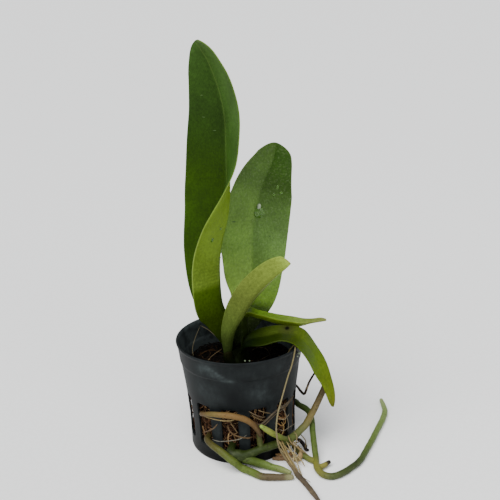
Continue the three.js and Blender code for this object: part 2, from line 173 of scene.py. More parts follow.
def gridFaces(rows, columns, start=0, wrap=True):
    # quads between neighbouring rows; the last column joins the first where the rings close
    across = columns if wrap else columns - 1
    i, j = np.meshgrid(np.arange(rows - 1), np.arange(across), indexing="ij")
    here = start + i * columns + j
    beside = start + i * columns + (j + 1) % columns
    return np.stack([here, beside, beside + columns, here + columns], -1).reshape(-1, 4)


def unit(vectors):
    # each vector divided by its own length
    return vectors / np.maximum(np.linalg.norm(vectors, axis=-1, keepdims=True), 1e-9)


def splineAt(points, t):
    # Catmull-Rom: on each span p1 to p2 the cubic whose end slopes are (p2 - p0) / 2 and
    # (p3 - p1) / 2, with the end points mirrored to start and finish it
    points = np.asarray(points, float)
    ends = [2 * points[0] - points[1], *points, 2 * points[-1] - points[-2]]
    padded = np.array(ends)
    span = np.clip(np.floor(t * (len(points) - 1)).astype(int), 0, len(points) - 2)
    w = (t * (len(points) - 1) - span)[:, None]
    p0, p1, p2, p3 = (padded[span + k] for k in range(4))
    slope = 0.5 * (p2 - p0)
    nextSlope = 0.5 * (p3 - p1)
    return ((2 * p1 - 2 * p2 + slope + nextSlope) * w ** 3
            + (3 * p2 - 3 * p1 - 2 * slope - nextSlope) * w ** 2 + slope * w + p1)


def lengthAlong(points):
    # the running length of a line through points
    return np.concatenate([[0], np.cumsum(np.linalg.norm(np.diff(points, axis=0), axis=1))])


def roundTurn(count):
    # even angles once round
    return np.linspace(0, 2 * np.pi, count, endpoint=False)


def onCircle(turn, size):
    # points of a circle, for noise that closes once round
    return size * np.cos(turn), size * np.sin(turn)


def ripple(seed, *coordinates, waves=7, lowest=0.6, highest=2.4):
    # smooth noise from about -1 to 1: a mean of sines of seeded directions, pitches and phases
    random = np.random.default_rng(seed)
    total = 0
    for _ in range(waves):
        pitches = random.uniform(lowest, highest, len(coordinates))
        pitches *= random.choice([-1, 1], len(coordinates))
        phase = random.uniform(0, 2 * np.pi)
        total = total + np.sin(sum(p * c for p, c in zip(pitches, coordinates)) + phase)
    return total / waves * 1.6  # a mean of sines seldom passes 0.6, so it is raised to fill the range


def carriedFrames(paths):
    # tangents, and across each path a side vector that is the one before it less its part
    # along the new tangent, so that a tube doesn't twist
    tangents = unit(np.gradient(paths, axis=1))
    least = np.argmin(np.abs(tangents[:, 0]), -1)
    side = np.eye(3)[least]
    sides = np.empty_like(paths)
    for i in range(paths.shape[1]):
        side = unit(side - np.sum(side * tangents[:, i], -1, keepdims=True) * tangents[:, i])
        sides[:, i] = side
    return tangents, sides, np.cross(tangents, sides)


def tubes(paths, radii, sides):
    # rings of points round each path at its radius, and quads along it, with a cap at each end
    paths = np.asarray(paths, float)
    count, samples = paths.shape[:2]
    _, across, up = carriedFrames(paths)
    turn = np.arange(sides) * 2 * np.pi / sides
    radii = np.broadcast_to(np.asarray(radii, float), (count, samples))[..., None, None]
    ring = across[:, :, None] * np.cos(turn)[:, None] + up[:, :, None] * np.sin(turn)[:, None]
    points = paths[:, :, None] + radii * ring
    starts = np.arange(count) * samples * sides
    one = gridFaces(samples, sides)
    quads = (starts[:, None, None] + one).reshape(-1, 4).tolist()
    loop = np.arange(sides)
    startCaps = starts[:, None] + loop[::-1]
    endCaps = starts[:, None] + (samples - 1) * sides + loop
    return points.reshape(-1, 3), quads + startCaps.tolist() + endCaps.tolist()


def joined(meshes):
    # several meshes as one: each one's faces count on from the points before it
    points, faces, start = [], [], 0
    for morePoints, moreFaces in meshes:
        points.append(morePoints)
        faces += [[index + start for index in face] for face in moreFaces]
        start += len(morePoints)
    return np.vstack(points), faces


def place(azimuth, radius, z):
    # the point at an azimuth in degrees, a radius and a height: x is the radius times the
    # azimuth's sine, and y less the radius times its cosine
    turn = np.radians(azimuth)
    return np.stack(np.broadcast_arrays(radius * np.sin(turn), -radius * np.cos(turn), z), -1)


floorForm = dict(width=40000, fibre=2.5)
overFloor = 0.05  # how far clear of the floor what lies on it is kept


def studioPaper():
    # matt white paper: an even pale tone with a very faint fibre
    material, shader, coordinates = addMaterial("studioPaper", Roughness=0.9)
    fibre = addNode(material, "TexNoise", (coordinates, perMetre(floorForm["fibre"]), 4.0))
    tone = addNode(material, "ValToRGB", (fibre,), stops=[(0.3, "#f1f1ef"), (0.7, "#f6f6f4")])
    return linked(material, shader, Base_Color=tone)


corner = floorForm["width"] / 2
floor = addMesh("floor", [(-corner, -corner, 0), (corner, -corner, 0), (corner, corner, 0),
                          (-corner, corner, 0)], [(0, 1, 2, 3)], studioPaper())

world = bpy.data.worlds.new("studio")
world.use_nodes = True
sky = world.node_tree.nodes["Background"]
sky.inputs["Color"].default_value = linearColour(worldLight["colour"])
sky.inputs["Strength"].default_value = worldLight["strength"]
bpy.context.scene.world = world
print("stage ready")

# A blade's thickness at the keel and the margin, and how much of it is left at the tip, the least
# half width there, how far in the edge is rounded, the grid, the groove's width and the half width
# that it needs, and the wave of the margins, which the stiff base is free of.
bladeSize = dict(atKeel=2.2, atMargin=0.8, tipShare=0.6, tipHalf=0.5, edge=0.5, columns=22, rows=150,
                 tipRows=26, grooveWidth=0.9, grooveHalf=6, wave=0.35, wavePitch=(9, 14), stiffBase=12)

# keelBend is the keel's radius, tip the share of the length that rounds off, groove the keel
# groove's depth, keelShow and marginShow (upper, under) how well the pale lines show, and blend
# how softly one half's green turns to the other's. Some are wrinkled between two shares of the
# length, flecked with lime, or have a bruise. Stations down the keel: x, y, z, half width,
# azimuth and elevation that the upper face looks to, and the fold of each half. Greens run from
# base to tip: left and right of the keel on the upper face, or only left where both are alike, and
# on the under face. Their darkest stops at the base are painted shade, where the leaves stand deep
# in the pot and behind one another, and where the two halves of a fold differ, part of it is
# painted light and shade.
leafForms = {
    "leaf_tall": dict(
        keelBend=3, tip=0.10, groove=0.12, keelShow=0.15, marginShow=(0.08, 0.5), blend=0.1, sheen=0.07,
        wrinkled=(0.305, 0.37), slot="leaf_deep_green", seed=11,
        stations=[
            (-4.5, 3, 56, 3, -105, 0, 66), (-7.5, 3, 77, 13.5, -94, 0, 70),
            (-10.5, 3, 91, 19, -82, 0, 64), (-10, 3.5, 117, 22, -74, 0, 60),
            (-4, 4.5, 143.5, 26, -64, 0, 49), (-3, 6, 170.5, 24.5, -48, 0, 32),
            (-3.5, 8, 199, 21.5, -44, 0, 25), (-10, 10, 222.5, 13.5, -38, 0, 28),
            (-17.5, 11.5, 235.25, 8, -45, 0, 30)],
        left=[(0, "#1f3101"), (0.3, "#263d01"), (0.45, "#284007"), (0.58, "#243a05"), (0.68, "#1d3107"),
              (0.85, "#263d11"), (1, "#2e461a")],
        right=[(0, "#1f3101"), (0.3, "#2b4204"), (0.6, "#2e4915"), (0.85, "#36501f"), (1, "#364d20")],
        under=[(0, "#1a2604"), (0.15, "#2a3a04"), (0.285, "#334805"), (0.305, "#54691f"),
               (0.5, "#5b731a"), (1, "#5c741a")]),
    "leaf_back": dict(
        keelBend=4, tip=0.10, groove=0.22, keelShow=0.0, marginShow=(0.2, 0.12), blend=0.1, sheen=0.14,
        flecked=0.11, slot="leaf_deep_green", seed=12,
        stations=[
            (-1.5, 9.5, 53.5, 3, 0, 0, 38), (2, 13, 69, 8.5, 5, 0, 26), (8, 16.5, 87, 15, 12, 0, 19),
            (8.5, 19, 105, 19.5, 18, 0, 15), (10, 20, 129, 21.5, 18, -4, 14),
            (15.5, 21, 150, 19, 16, -6, 14), (22.5, 22, 166, 12, 6, -2, 12), (25, 23, 176, 7, 4, 0, 10)],
        left=[(0, "#121b07"), (0.18, "#29380e"), (0.235, "#3c5018"), (0.27, "#84a542"), (0.5, "#5b7b2f"),
              (0.75, "#37501a"), (1, "#314911")],
        right=[(0, "#121b07"), (0.18, "#29380e"), (0.235, "#30440f"), (0.27, "#587623"), (0.5, "#4e6a31"),
               (0.75, "#263f04"), (0.9, "#213a05"), (1, "#2e480e")],
        under=[(0, "#5d7030"), (0.5, "#61773a"), (1, "#61773a")]),
    "leaf_young": dict(
        keelBend=2.5, tip=0.07, groove=0.05, keelShow=0.0, marginShow=(0.0, 0.2), blend=0.1, sheen=0.01,
        slot="leaf_olive", seed=13,
        stations=[
            (-7, -6.5, 57, 2.4, 216, 0, 49), (-4.5, -9, 72.5, 6.4, 212, 0, 45),
            (1.5, -11, 84.5, 9.8, 213, 0, 43), (8.5, -11.5, 96.5, 10, 211, 0, 40),
            (18, -11, 105.5, 10, 215, 9, 39), (26, -9.5, 111.1, 8.5, 219, 17, 37),
            (30, -8.6, 114.2, 6.1, 222, 23, 37)],
        left=[(0, "#354410"), (0.5, "#53671c"), (1, "#6e8027")],
        under=[(0, "#1d2811"), (0.2, "#3f4d1e"), (0.45, "#4c5724"), (0.75, "#6a7a31"), (0.95, "#869b3d"),
               (1, "#868c38")]),
    "leaf_small": dict(
        keelBend=1.8, tip=0.08, groove=0.1, keelShow=0.05, marginShow=(0.12, 0.12), blend=0.1, sheen=0.14,
        slot="leaf_bright_green", seed=14,
        stations=[
            (1.5, 3.5, 56, 2.5, -90, 0, 50), (4, 3.5, 65.5, 3.6, -90, 14, 50),
            (5, 3.5, 78, 4.6, -90, 43, 50), (11, 3, 77.5, 4.4, -90, 72, 50),
            (22.5, 2.5, 73.5, 5.5, -90, 88, 47), (33.5, 2, 71.5, 5.5, -90, 90, 45),
            (42, 1.5, 73.3, 2.8, -90, 90, 39), (51, 1.5, 74.5, 2.5, -90, 90, 31)],
        left=[(0, "#182305"), (0.27, "#2c3b0a"), (0.34, "#33470a"), (0.43, "#597a16"), (0.75, "#677b2c"),
              (1, "#71743b")],
        under=[(0, "#101803"), (0.27, "#1b2704"), (0.4, "#53690f"), (0.75, "#697d24"), (1, "#71713d")]),
    "leaf_arching": dict(
        keelBend=4, tip=0.10, groove=0.0, keelShow=0.0, marginShow=(0.05, 0.05), blend=0.3, sheen=0.04,
        bruise=(0.438, -0.6), slot="leaf_bright_green", seed=15,
        stations=[
            (1, -4, 57, 2.8, -90, 40, 20), (5, -7, 66, 6, -78, 58, 12), (15, -10.5, 70, 9.5, -48, 74, 6),
            (26, -13, 72.5, 10, -15, 88, 4), (35, -14, 69.5, 10.3, 5, 82, 3),
            (43, -14.5, 57, 8.4, 20, 78, 4), (49.5, -15.5, 42, 4.5, 34, 56, 5),
            (53, -17, 27.5, 3.2, 44, 39, 15)],
        left=[(0, "#060e02"), (0.2, "#1a2607"), (0.38, "#3a4716"), (0.5, "#3c4912"), (0.7, "#4a5f11"),
              (0.92, "#566312"), (1, "#515014")],
        right=[(0, "#020601"), (0.2, "#081201"), (0.38, "#1d2906"), (0.5, "#283405"), (0.7, "#445a0c"),
               (0.92, "#566310"), (1, "#515014")],
        under=[(0, "#040901"), (0.3, "#212c06"), (0.7, "#3d4e06"), (1, "#504e0d")]),
}
leafSurfaces = {}


def bladeSteps(form, size):
    # even steps along the keel, and near the tip the sine of even steps of a quarter turn
    body = np.linspace(0, 1 - form["tip"], size["rows"], endpoint=False)
    tip = np.sin(np.linspace(0, np.pi / 2, size["tipRows"]))
    return np.concatenate([body, 1 - form["tip"] + form["tip"] * tip])


def keelFrame(stations, t):
    # The keel is the spline through the stations. The blade's normal is the way that the stations
    # say the upper face looks, less its part along the keel, and the side is square to both.
    nudge = 1e-4
    keel = splineAt(stations[:, :3], t)
    ahead = splineAt(stations[:, :3], np.minimum(t + nudge, 1))
    along = unit(ahead - splineAt(stations[:, :3], np.maximum(t - nudge, 0)))
    azimuth, elevation = np.radians(splineAt(stations[:, 4:6], t)).T
    face = place(np.degrees(azimuth), np.cos(elevation), np.sin(elevation))
    normal = unit(face - np.sum(face * along, -1, keepdims=True) * along)
    return keel, normal, np.cross(along, normal)


def foldedBlade(form, size):
    # Across the blade, the height over the keel follows a round keel of radius keelBend that
    # turns until it reaches the fold, and then a straight half. The half width falls at the tip
    # as the root of 1 - s squared, and smooth noise waves the margins.
    t = bladeSteps(form, size)
    stations = np.array(form["stations"], float)
    keel, normal, side = keelFrame(stations, t)
    half, fold = splineAt(stations[:, [3, 6]], t).T[..., None]
    towardsTip = np.clip((t - (1 - form["tip"])) / form["tip"], 0, 1)[:, None]
    half = np.maximum(half * np.sqrt(1 - towardsTip ** 2), size["tipHalf"])
    fold = np.radians(fold)

    step = np.arange(-size["columns"], size["columns"] + 1) / size["columns"]
    share = np.sign(step) * (1 - np.cos(np.pi * np.abs(step))) / 2
    across = share * half
    distance = np.abs(across)
    bend = form["keelBend"]
    turned = np.minimum(distance / bend, fold)
    straight = distance - bend * turned
    out = bend * np.sin(turned) + straight * np.cos(fold)
    up = bend * (1 - np.cos(turned)) + straight * np.sin(fold)
    sign = np.sign(share)
    middle = keel[:, None] + side[:, None] * (sign * out)[..., None] + normal[:, None] * up[..., None]
    lean = normal[:, None] * np.cos(turned)[..., None] - side[:, None] * (sign * np.sin(turned))[..., None]

    length = lengthAlong(keel)[:, None]
    swell = np.minimum(1, length / size["stiffBase"]) * np.abs(share) ** 1.5
    lengthPitch, acrossPitch = size["wavePitch"]
    wave = ripple(form["seed"], length / lengthPitch, across / acrossPitch)
    middle = middle + lean * (size["wave"] * swell * wave)[..., None]
    return dict(t=t, length=length, half=half, share=share, across=across, middle=middle, lean=lean)


def leafSkin(form, size):
    # Each face is half the thickness away from the folded blade along its own normal. The
    # thickness falls from keel to margin as 1 - s squared, and at the edge as an ellipse, and a
    # groove with a bell section runs down the keel.
    blade = foldedBlade(form, size)
    t, share, across, half = blade["t"], blade["share"], blade["across"], blade["half"]
    atKeel = np.maximum(size["atMargin"], size["atKeel"] * (1 - (1 - size["tipShare"]) * t))[:, None]
    thickness = size["atMargin"] + (atKeel - size["atMargin"]) * (1 - share ** 2)
    toEdge = half - np.abs(across)
    inside = np.clip(1 - toEdge / size["edge"], 0, 0.98)  # never 1, so that the edge stays open
    thickness = thickness * np.sqrt(1 - inside ** 2)
    groove = form["groove"] * np.exp(-(across / size["grooveWidth"]) ** 2)
    groove = groove * np.minimum(1, half / size["grooveHalf"])
    upper = blade["middle"] + blade["lean"] * (thickness / 2 - groove)[..., None]
    under = blade["middle"] - blade["lean"] * (thickness / 2 + groove / 2)[..., None]
    surface = dict(t=t, share=share, upper=upper, under=under, lean=blade["lean"])

    rings = np.concatenate([upper, under[:, ::-1]], 1)
    rows, columns = rings.shape[:2]
    j = np.arange(columns // 2 - 1)
    far = columns - 1 - j
    last = (rows - 1) * columns
    base = np.stack([j, far, far - 1, j + 1], -1)
    tipCap = last + np.stack([j, j + 1, far - 1, far], -1)
    faces = np.concatenate([gridFaces(rows, columns), base, tipCap])[:, ::-1].tolist()

    def onBothFaces(values):
        # values across the upper face, then the same backwards for the under face
        grid = np.broadcast_to(values, across.shape)
        return np.concatenate([grid, grid[:, ::-1]], 1)

    # leafPlace holds the share of the length, the share of the half width and 1 on the upper face;
    # leafMm the length so far, the distance from the keel and the distance to the edge
    sheet = np.repeat([[1, 0]], rows, axis=0).repeat(columns // 2, axis=1)
    leafPlace = np.stack([onBothFaces(t[:, None]), onBothFaces(share), sheet], -1)
    leafMm = np.stack([onBothFaces(blade["length"]), onBothFaces(across), onBothFaces(toEdge)], -1)
    attributes = dict(leafPlace=leafPlace.reshape(-1, 3), leafMm=leafMm.reshape(-1, 3))
    return rings.reshape(-1, 3), faces, attributes, surface


# Sizes in millimetres: the clouds of green, the grain of cells, the flecks of lime, one vein to
# the next, the pale keel line and margin, and one cross wrinkle to the next. Real cells and veins
# are finer, but wouldn't show. The bruise's stretch turns shares of the blade into radii of it,
# and a shade is how dark and how light the green gets.
leafGrain = dict(clouds=16, cells=1.5, flecks=1.1, veinSpacing=0.95, veinStrength=0.1, veinWander=9.0,
                 keelLine=(0.25, 0.7), margin=(0.2, 0.7), marginStarts=(0.2, 0.33), wrinkles=1.9,
                 wrinkleShade=0.1, bruiseStretch=(42.0, 3.7, 1.0), bruiseCore=(0.5, 1.0),
                 bruiseRing=(0.7, 3.4), ringShow=0.6, cloudShade=(0.82, 1.18), cellShade=(0.72, 1.28),
                 gloss=(0.38, 0.52))
leafTones = dict(keel="#5f7430", margin="#7f9440", lime="#9cab84", bruiseRing="#2a2612", bruise="#060602")


def leafGreens(material, form, onLeaf):
    # greens that change from base to tip: the left and right halves of the upper face, blended
    # over the keel, and the under face; the dark bases are painted shade, and part of the difference
    # between the halves is painted light and shade
    left, right, under = (
        addNode(material, "ValToRGB", (onLeaf["X"],), stops=form.get(face, form["left"]))
        for face in ("left", "right", "under"))
    half = addNode(material, "MapRange", (onLeaf["Y"], -form["blend"], form["blend"]),
                   interpolation_type="SMOOTHSTEP")
    upper = addNode(material, "Mix", (half, left, right), data_type="RGBA")
    return addNode(material, "Mix", (onLeaf["Z"], under, upper), data_type="RGBA")


def paintedWrinkleShade(material, form, onLeaf, sizes, wander):
    # painted shade of fine cross wrinkles where the folded blade has been squeezed: the blade stays
    # smooth, and a sine along it darkens and lightens the green, starting sharply at the zone's low end
    # and fading out to its high end
    low, high = form["wrinkled"]
    pitch = 2 * math.pi / leafGrain["wrinkles"]
    turns = addNode(material, "Math", (sizes["X"], pitch, wander), operation="MULTIPLY_ADD")
    wrinkle = addNode(material, "Math", (turns,), operation="SINE")
    fading = addNode(material, "MapRange", (onLeaf["X"], high, low, 0.0, leafGrain["wrinkleShade"]))
    starting = addNode(material, "MapRange", (onLeaf["X"], low - 0.01, low))
    inZone = addNode(material, "Math", (fading, starting), operation="MULTIPLY")
    return addNode(material, "Math", (wrinkle, inZone, 1.0), operation="MULTIPLY_ADD")


def leafFlecks(material, form, objectPlace, green):
    # pale flecks of dried lime, where a fine noise is above its middle
    lime = addNode(material, "TexNoise", (objectPlace, perMetre(leafGrain["flecks"]), 3.0, 0.6))
    flecks = addNode(material, "MapRange", (lime, 0.5, 0.75, 0.0, form["flecked"]))
    return addNode(material, "Mix", (flecks, green, leafTones["lime"]), data_type="RGBA")


def leafLines(material, form, onLeaf, sizes, green):
    # a pale keel line, and a pale margin that may differ on the two faces and fades at the base
    fromKeel = addNode(material, "Math", (sizes["Y"],), operation="ABSOLUTE")
    keel = addNode(material, "MapRange", (fromKeel, *leafGrain["keelLine"], form["keelShow"], 0.0))
    lined = addNode(material, "Mix", (keel, green, leafTones["keel"]), data_type="RGBA")
    onUpper, onUnder = form["marginShow"]
    most = addNode(material, "MapRange", (onLeaf["Z"], 0.0, 1.0, onUnder, onUpper))
    risen = addNode(material, "MapRange", (onLeaf["X"], *leafGrain["marginStarts"], 0.0, most))
    edge = addNode(material, "MapRange", (sizes["Z"], *leafGrain["margin"], risen, 0.0))
    return addNode(material, "Mix", (edge, lined, leafTones["margin"]), data_type="RGBA")


def leafBruise(material, form, leafPlace, green):
    # one dark bruise with a dull brownish ring: both fade with the distance from its middle, in
    # shares of the blade that are stretched until the bruise is round
    shifted = addNode(material, "VectorMath", (leafPlace, (*form["bruise"], 1.0)), operation="SUBTRACT")
    scaled = addNode(material, "VectorMath", (shifted, leafGrain["bruiseStretch"]), operation="MULTIPLY")
    away = addNode(material, "VectorMath", (scaled,), operation="LENGTH")
    ring = addNode(material, "MapRange", (away, *leafGrain["bruiseRing"], leafGrain["ringShow"], 0.0))
    dulled = addNode(material, "Mix", (ring, green, leafTones["bruiseRing"]), data_type="RGBA")
    core = addNode(material, "MapRange", (away, *leafGrain["bruiseCore"], 1.0, 0.0))
    return addNode(material, "Mix", (core, dulled, leafTones["bruise"]), data_type="RGBA")


def waxyLeaf(name, form):
    # A living orchid leaf grows a thick waxy cuticle: a broad soft gloss over mottled green, with
    # faint parallel veins that wander, and a thin pale margin.
    material, shader, objectPlace = addMaterial(name, Roughness=0.42, IOR=1.45,
                                                Specular_IOR_Level=form["sheen"])
    leafPlace = addNode(material, "Attribute", out="Vector", attribute_name="leafPlace")
    leafMm = addNode(material, "Attribute", out="Vector", attribute_name="leafMm")
    onLeaf = addNode(material, "SeparateXYZ", (leafPlace,)).node.outputs
    sizes = addNode(material, "SeparateXYZ", (leafMm,)).node.outputs
    greens = leafGreens(material, form, onLeaf)

    # broad clouds and a grain of cells make the green uneven
    broad = addNode(material, "TexNoise", (objectPlace, perMetre(leafGrain["clouds"]), 4.0))
    cells = addNode(material, "TexNoise", (objectPlace, perMetre(leafGrain["cells"]), 5.0, 0.7))
    clouded = addNode(material, "MapRange", (broad, *noiseReach, *leafGrain["cloudShade"]))
    grained = addNode(material, "MapRange", (cells, *noiseReach, *leafGrain["cellShade"]))
    uneven = addNode(material, "Math", (clouded, grained), operation="MULTIPLY")

    # veins: a sine across the blade, one wave each vein spacing, carried off line by the clouds
    wander = addNode(material, "Math", (broad, leafGrain["veinWander"]), operation="MULTIPLY")
    pitch, half = 2 * math.pi / leafGrain["veinSpacing"], leafGrain["veinStrength"] / 2
    turns = addNode(material, "Math", (sizes["Y"], pitch, wander), operation="MULTIPLY_ADD")
    wave = addNode(material, "Math", (turns,), operation="SINE")
    faint = addNode(material, "Math", (wave, cells), operation="MULTIPLY")
    vein = addNode(material, "MapRange", (faint, -0.6, 0.6, 1 - half, 1 + half))
    value = addNode(material, "Math", (uneven, vein), operation="MULTIPLY")
    if "wrinkled" in form:
        crossed = paintedWrinkleShade(material, form, onLeaf, sizes, wander)
        value = addNode(material, "Math", (value, crossed), operation="MULTIPLY")
    colour = addNode(material, "HueSaturation", {"Color": greens, "Value": value})
    if "flecked" in form:
        colour = leafFlecks(material, form, objectPlace, colour)
    colour = leafLines(material, form, onLeaf, sizes, colour)
    if "bruise" in form:
        colour = leafBruise(material, form, leafPlace, colour)
    gloss = addNode(material, "MapRange", (cells, *noiseReach, *leafGrain["gloss"]))
    height = addNode(material, "Math", (faint, cells), operation="ADD")
    bump = addNode(material, "Bump", {"Strength": 0.1, "Distance": 0.2 * mm, "Height": height})
    return linked(material, shader, Base_Color=colour, Roughness=gloss, Normal=bump)


for name, form in leafForms.items():
    points, faces, attributes, leafSurfaces[name] = leafSkin(form, bladeSize)
    leaf = addMesh(name + "_blade", points, faces, waxyLeaf("waxyLeaf_" + name, form), attributes)
    finishPiece(leaf, form["slot"], name)
print("leaves ready")

# The outside runs from the foot up to the rolled rim, as radius and height. The slots and drain
# holes have an azimuth for the first of each ring, and give says how freely the wall dents at
# each height. The crease shows as a painted highlight, a pale line, and fades below it. Over the
# foot, which is painted darker as shade, the film starts at one height and is whole by the other.
potForm = dict(
    outside=[(30.2, 0), (31, 0.35), (31.3, 1.2), (31.6, 20), (32.8, 35.5), (35.2, 54.6), (35.7, 55.3),
             (36.6, 63.2), (36.85, 65.1), (37.35, 65.6), (37.5, 66.2), (37.35, 66.8), (37, 67)],
    slots=12, firstSlot=-43, slotHalf=5, slotHalfAngle=9, slotBottom=9, slotTop=35.5, slotCorner=1.5,
    endsIn=0.985, drains=8, firstDrain=22.5, drainRadius=2.5, drainCircle=16,
    wall=1.0, edge=0.14, edgeAngle=50,
    dent=0.3, dentTurns=3, dentPitch=16, seed=31, give=[(0, 0), (6, 0.5), (40, 1), (60, 0.7), (67, 0.35)],
    creaseFrom=(-36, 65), creaseTo=(-8, 54.5), creaseDepth=0.35, creaseFade=4, creaseSharp=3,
    creaseEnds=1.6, creaseLine=0.45, creaseHighlight=0.6, meanRadius=35, filmFrom=2, filmWhole=13)

# The grid's rings: radii on the underside, then heights on the wall, closer at the foot, the
# step under the rim band and the rim.
potRings = dict(columns=240, innerDisc=[4, 9], drainRows=5, outerDisc=[21.5, 25, 28.5],
                foot=[0, 0.35, 1.2, 3, 5, 7], slotRows=30, wall=np.linspace(36.6, 53.6, 15),
                step=[54.6, 54.95, 55.3], band=np.linspace(56.3, 64.3, 8),
                rim=[65.1, 65.6, 66.2, 66.8, 67])
sameLine = 0.01  # grid lines nearer than this are one line

# Pale patches, partly a film left by dried water and partly painted reflection: azimuth, height,
# their spreads, and how thick it is. One patch takes some away, so the wall is darker there.
filmAndSheenPatches = [(-33, 60.5, 9, 4, 0.7), (-22, 57.5, 6, 1.6, 0.6), (-12, 55, 6, 0.9, 0.8),
               (-36, 46, 10, 6, 0.3), (-24, 40, 7, 3, 0.2), (18, 48, 8, 5, 0.45), (26, 42, 7, 4, 0.35),
               (45, 60, 14, 3, 0.25), (-8, 44, 9, 6, -0.14), (-28, 20, 5, 9, 0.35), (2, 20, 5, 9, 0.3),
               (32, 22, 6, 9, 0.25), (-80, 50, 14, 9, 0.12), (110, 46, 30, 10, 0.4),
               (170, 52, 25, 8, 0.45), (-130, 48, 25, 9, 0.4)]


def wallRadius(z):
    # the outside's radius at a height, straight between the points of its outline
    radii, heights = np.array(potForm["outside"]).T
    return np.interp(z, heights, radii)


def pastCrease(azimuth, z, form):
    # How far a place lies below and right of the crease, in millimetres, and how near its middle.
    # They are the cross and dot products of its way from the crease's start with the crease's run.
    (fromTurn, fromZ), (toTurn, toZ) = form["creaseFrom"], form["creaseTo"]
    run, drop = np.radians(toTurn - fromTurn) * form["meanRadius"], toZ - fromZ
    across, rise = np.radians(azimuth - fromTurn) * form["meanRadius"], z - fromZ
    length = np.hypot(run, drop)
    along = (across * run + rise * drop) / length ** 2
    near = np.clip(1 - np.abs(along - 0.5) * form["creaseEnds"], 0, 1)
    return (across * -drop + rise * run) / -length, near


def potGrid(form, rings):
    # Rings of the underside, then of the wall, as azimuth, radius and height. The columns start
    # from a slot's middle on the wall, and are turned to start from a drain hole's on the disc.
    drainRadii = form["drainCircle"] + form["drainRadius"] * np.linspace(-1, 1, rings["drainRows"])
    discRadii = np.concatenate([rings["innerDisc"], drainRadii, rings["outerDisc"]])
    slotHeights = np.linspace(form["slotBottom"], form["slotTop"], rings["slotRows"] + 1)
    heights = np.concatenate([rings["foot"], slotHeights, rings["wall"], rings["step"], rings["band"],
                              rings["rim"]])
    radius = np.concatenate([discRadii, wallRadius(heights)])[:, None]
    z = np.concatenate([np.zeros(len(discRadii)), heights])[:, None]
    pitch = 360 / rings["columns"]
    columns = form["firstSlot"] + pitch * np.arange(rings["columns"])
    drainShift = (form["firstDrain"] - form["firstSlot"]) % pitch
    turning = np.interp(radius, [rings["outerDisc"][0], rings["outerDisc"][-1]], [drainShift, 0])
    azimuth = columns + turning * (z == 0)
    return azimuth, radius + 0 * azimuth, z + 0 * azimuth


def nearest(azimuth, first, count):
    # how far an azimuth is from the middle of the nearest of a ring of openings, in degrees
    sector = 360 / count
    return (azimuth - first + sector / 2) % sector - sector / 2


def cutSlots(azimuth, radius, z, form):
    # Grid points on a slot's border are drawn in to a rounded rectangle: the border's own chord
    # and rise from the slot's middle, with each corner's points put on a circle.
    low, high, side = form["slotBottom"], form["slotTop"], form["slotHalfAngle"]
    turn = nearest(azimuth, form["firstSlot"], form["slots"])
    atSide = np.abs(np.abs(turn) - side) < sameLine
    inRows = (z >= low - sameLine) & (z <= high + sameLine)
    inColumns = np.abs(turn) <= side + sameLine
    atEnd = (np.abs(z - low) < sameLine) | (np.abs(z - high) < sameLine)
    border = inRows & inColumns & (atSide | atEnd)

    middle = (low + high) / 2
    atEnds = radius * np.sin(np.radians(turn)) * form["endsIn"]
    chord = np.where(atSide, np.sign(turn) * form["slotHalf"], atEnds)
    rise = z - middle
    straight = form["slotHalf"] - form["slotCorner"]
    overX = np.abs(chord) - straight
    overZ = np.abs(rise) - ((high - low) / 2 - form["slotCorner"])
    corner = border & (overX > 0) & (overZ > 0)
    pull = form["slotCorner"] / np.maximum(np.hypot(overX, overZ), 1e-6)
    chord = np.where(corner, np.sign(chord) * (straight + overX * pull), chord)
    rise = np.where(corner, np.sign(rise) * (np.abs(rise) - overZ + overZ * pull), rise)
    newTurn = np.degrees(np.arcsin(chord / np.maximum(radius, form["slotHalf"])))

    cell = (inRows[:-1] & inRows[1:]) & (inColumns & np.roll(inColumns, -1, 1))[:-1]
    cell &= (turn < side - sameLine)[:-1]
    return np.where(border, azimuth - turn + newTurn, azimuth), np.where(border, middle + rise, z), cell


def cutDrains(azimuth, radius, z, form, rings):
    # grid points on a drain hole's border are moved along their line from its middle to a circle
    hole, circle, pitch = form["drainRadius"], form["drainCircle"], 360 / rings["columns"]
    blockTurn = round(np.degrees(hole / circle) / pitch) * pitch
    turn = nearest(azimuth, form["firstDrain"], form["drains"])
    outward = radius - circle
    sideways = circle * np.radians(turn)
    inBlock = (np.abs(outward) <= hole + sameLine) & (np.abs(turn) <= blockTurn + sameLine)
    onDisc = inBlock & (z == 0)
    atRim = np.abs(np.abs(outward) - hole) < sameLine
    border = onDisc & (atRim | (np.abs(np.abs(turn) - blockTurn) < sameLine))
    reach = hole / np.maximum(np.hypot(outward, sideways), 1e-6)
    newTurn = np.degrees(sideways * reach / circle)
    both = onDisc & np.roll(onDisc, -1, 1)
    return (np.where(border, azimuth - turn + newTurn, azimuth),
            np.where(border, circle + outward * reach, radius), both[:-1] & both[1:])


def filmAndSheenThickness(azimuth, z):
    # each patch is a bell over azimuth and height, and they add up
    filmAndSheen = 0
    for turnAt, zAt, turnSpread, zSpread, amount in filmAndSheenPatches:
        turn = ((azimuth - turnAt + 180) % 360 - 180) / turnSpread
        filmAndSheen = filmAndSheen + amount * np.exp(-turn ** 2 - ((z - zAt) / zSpread) ** 2)
    return filmAndSheen


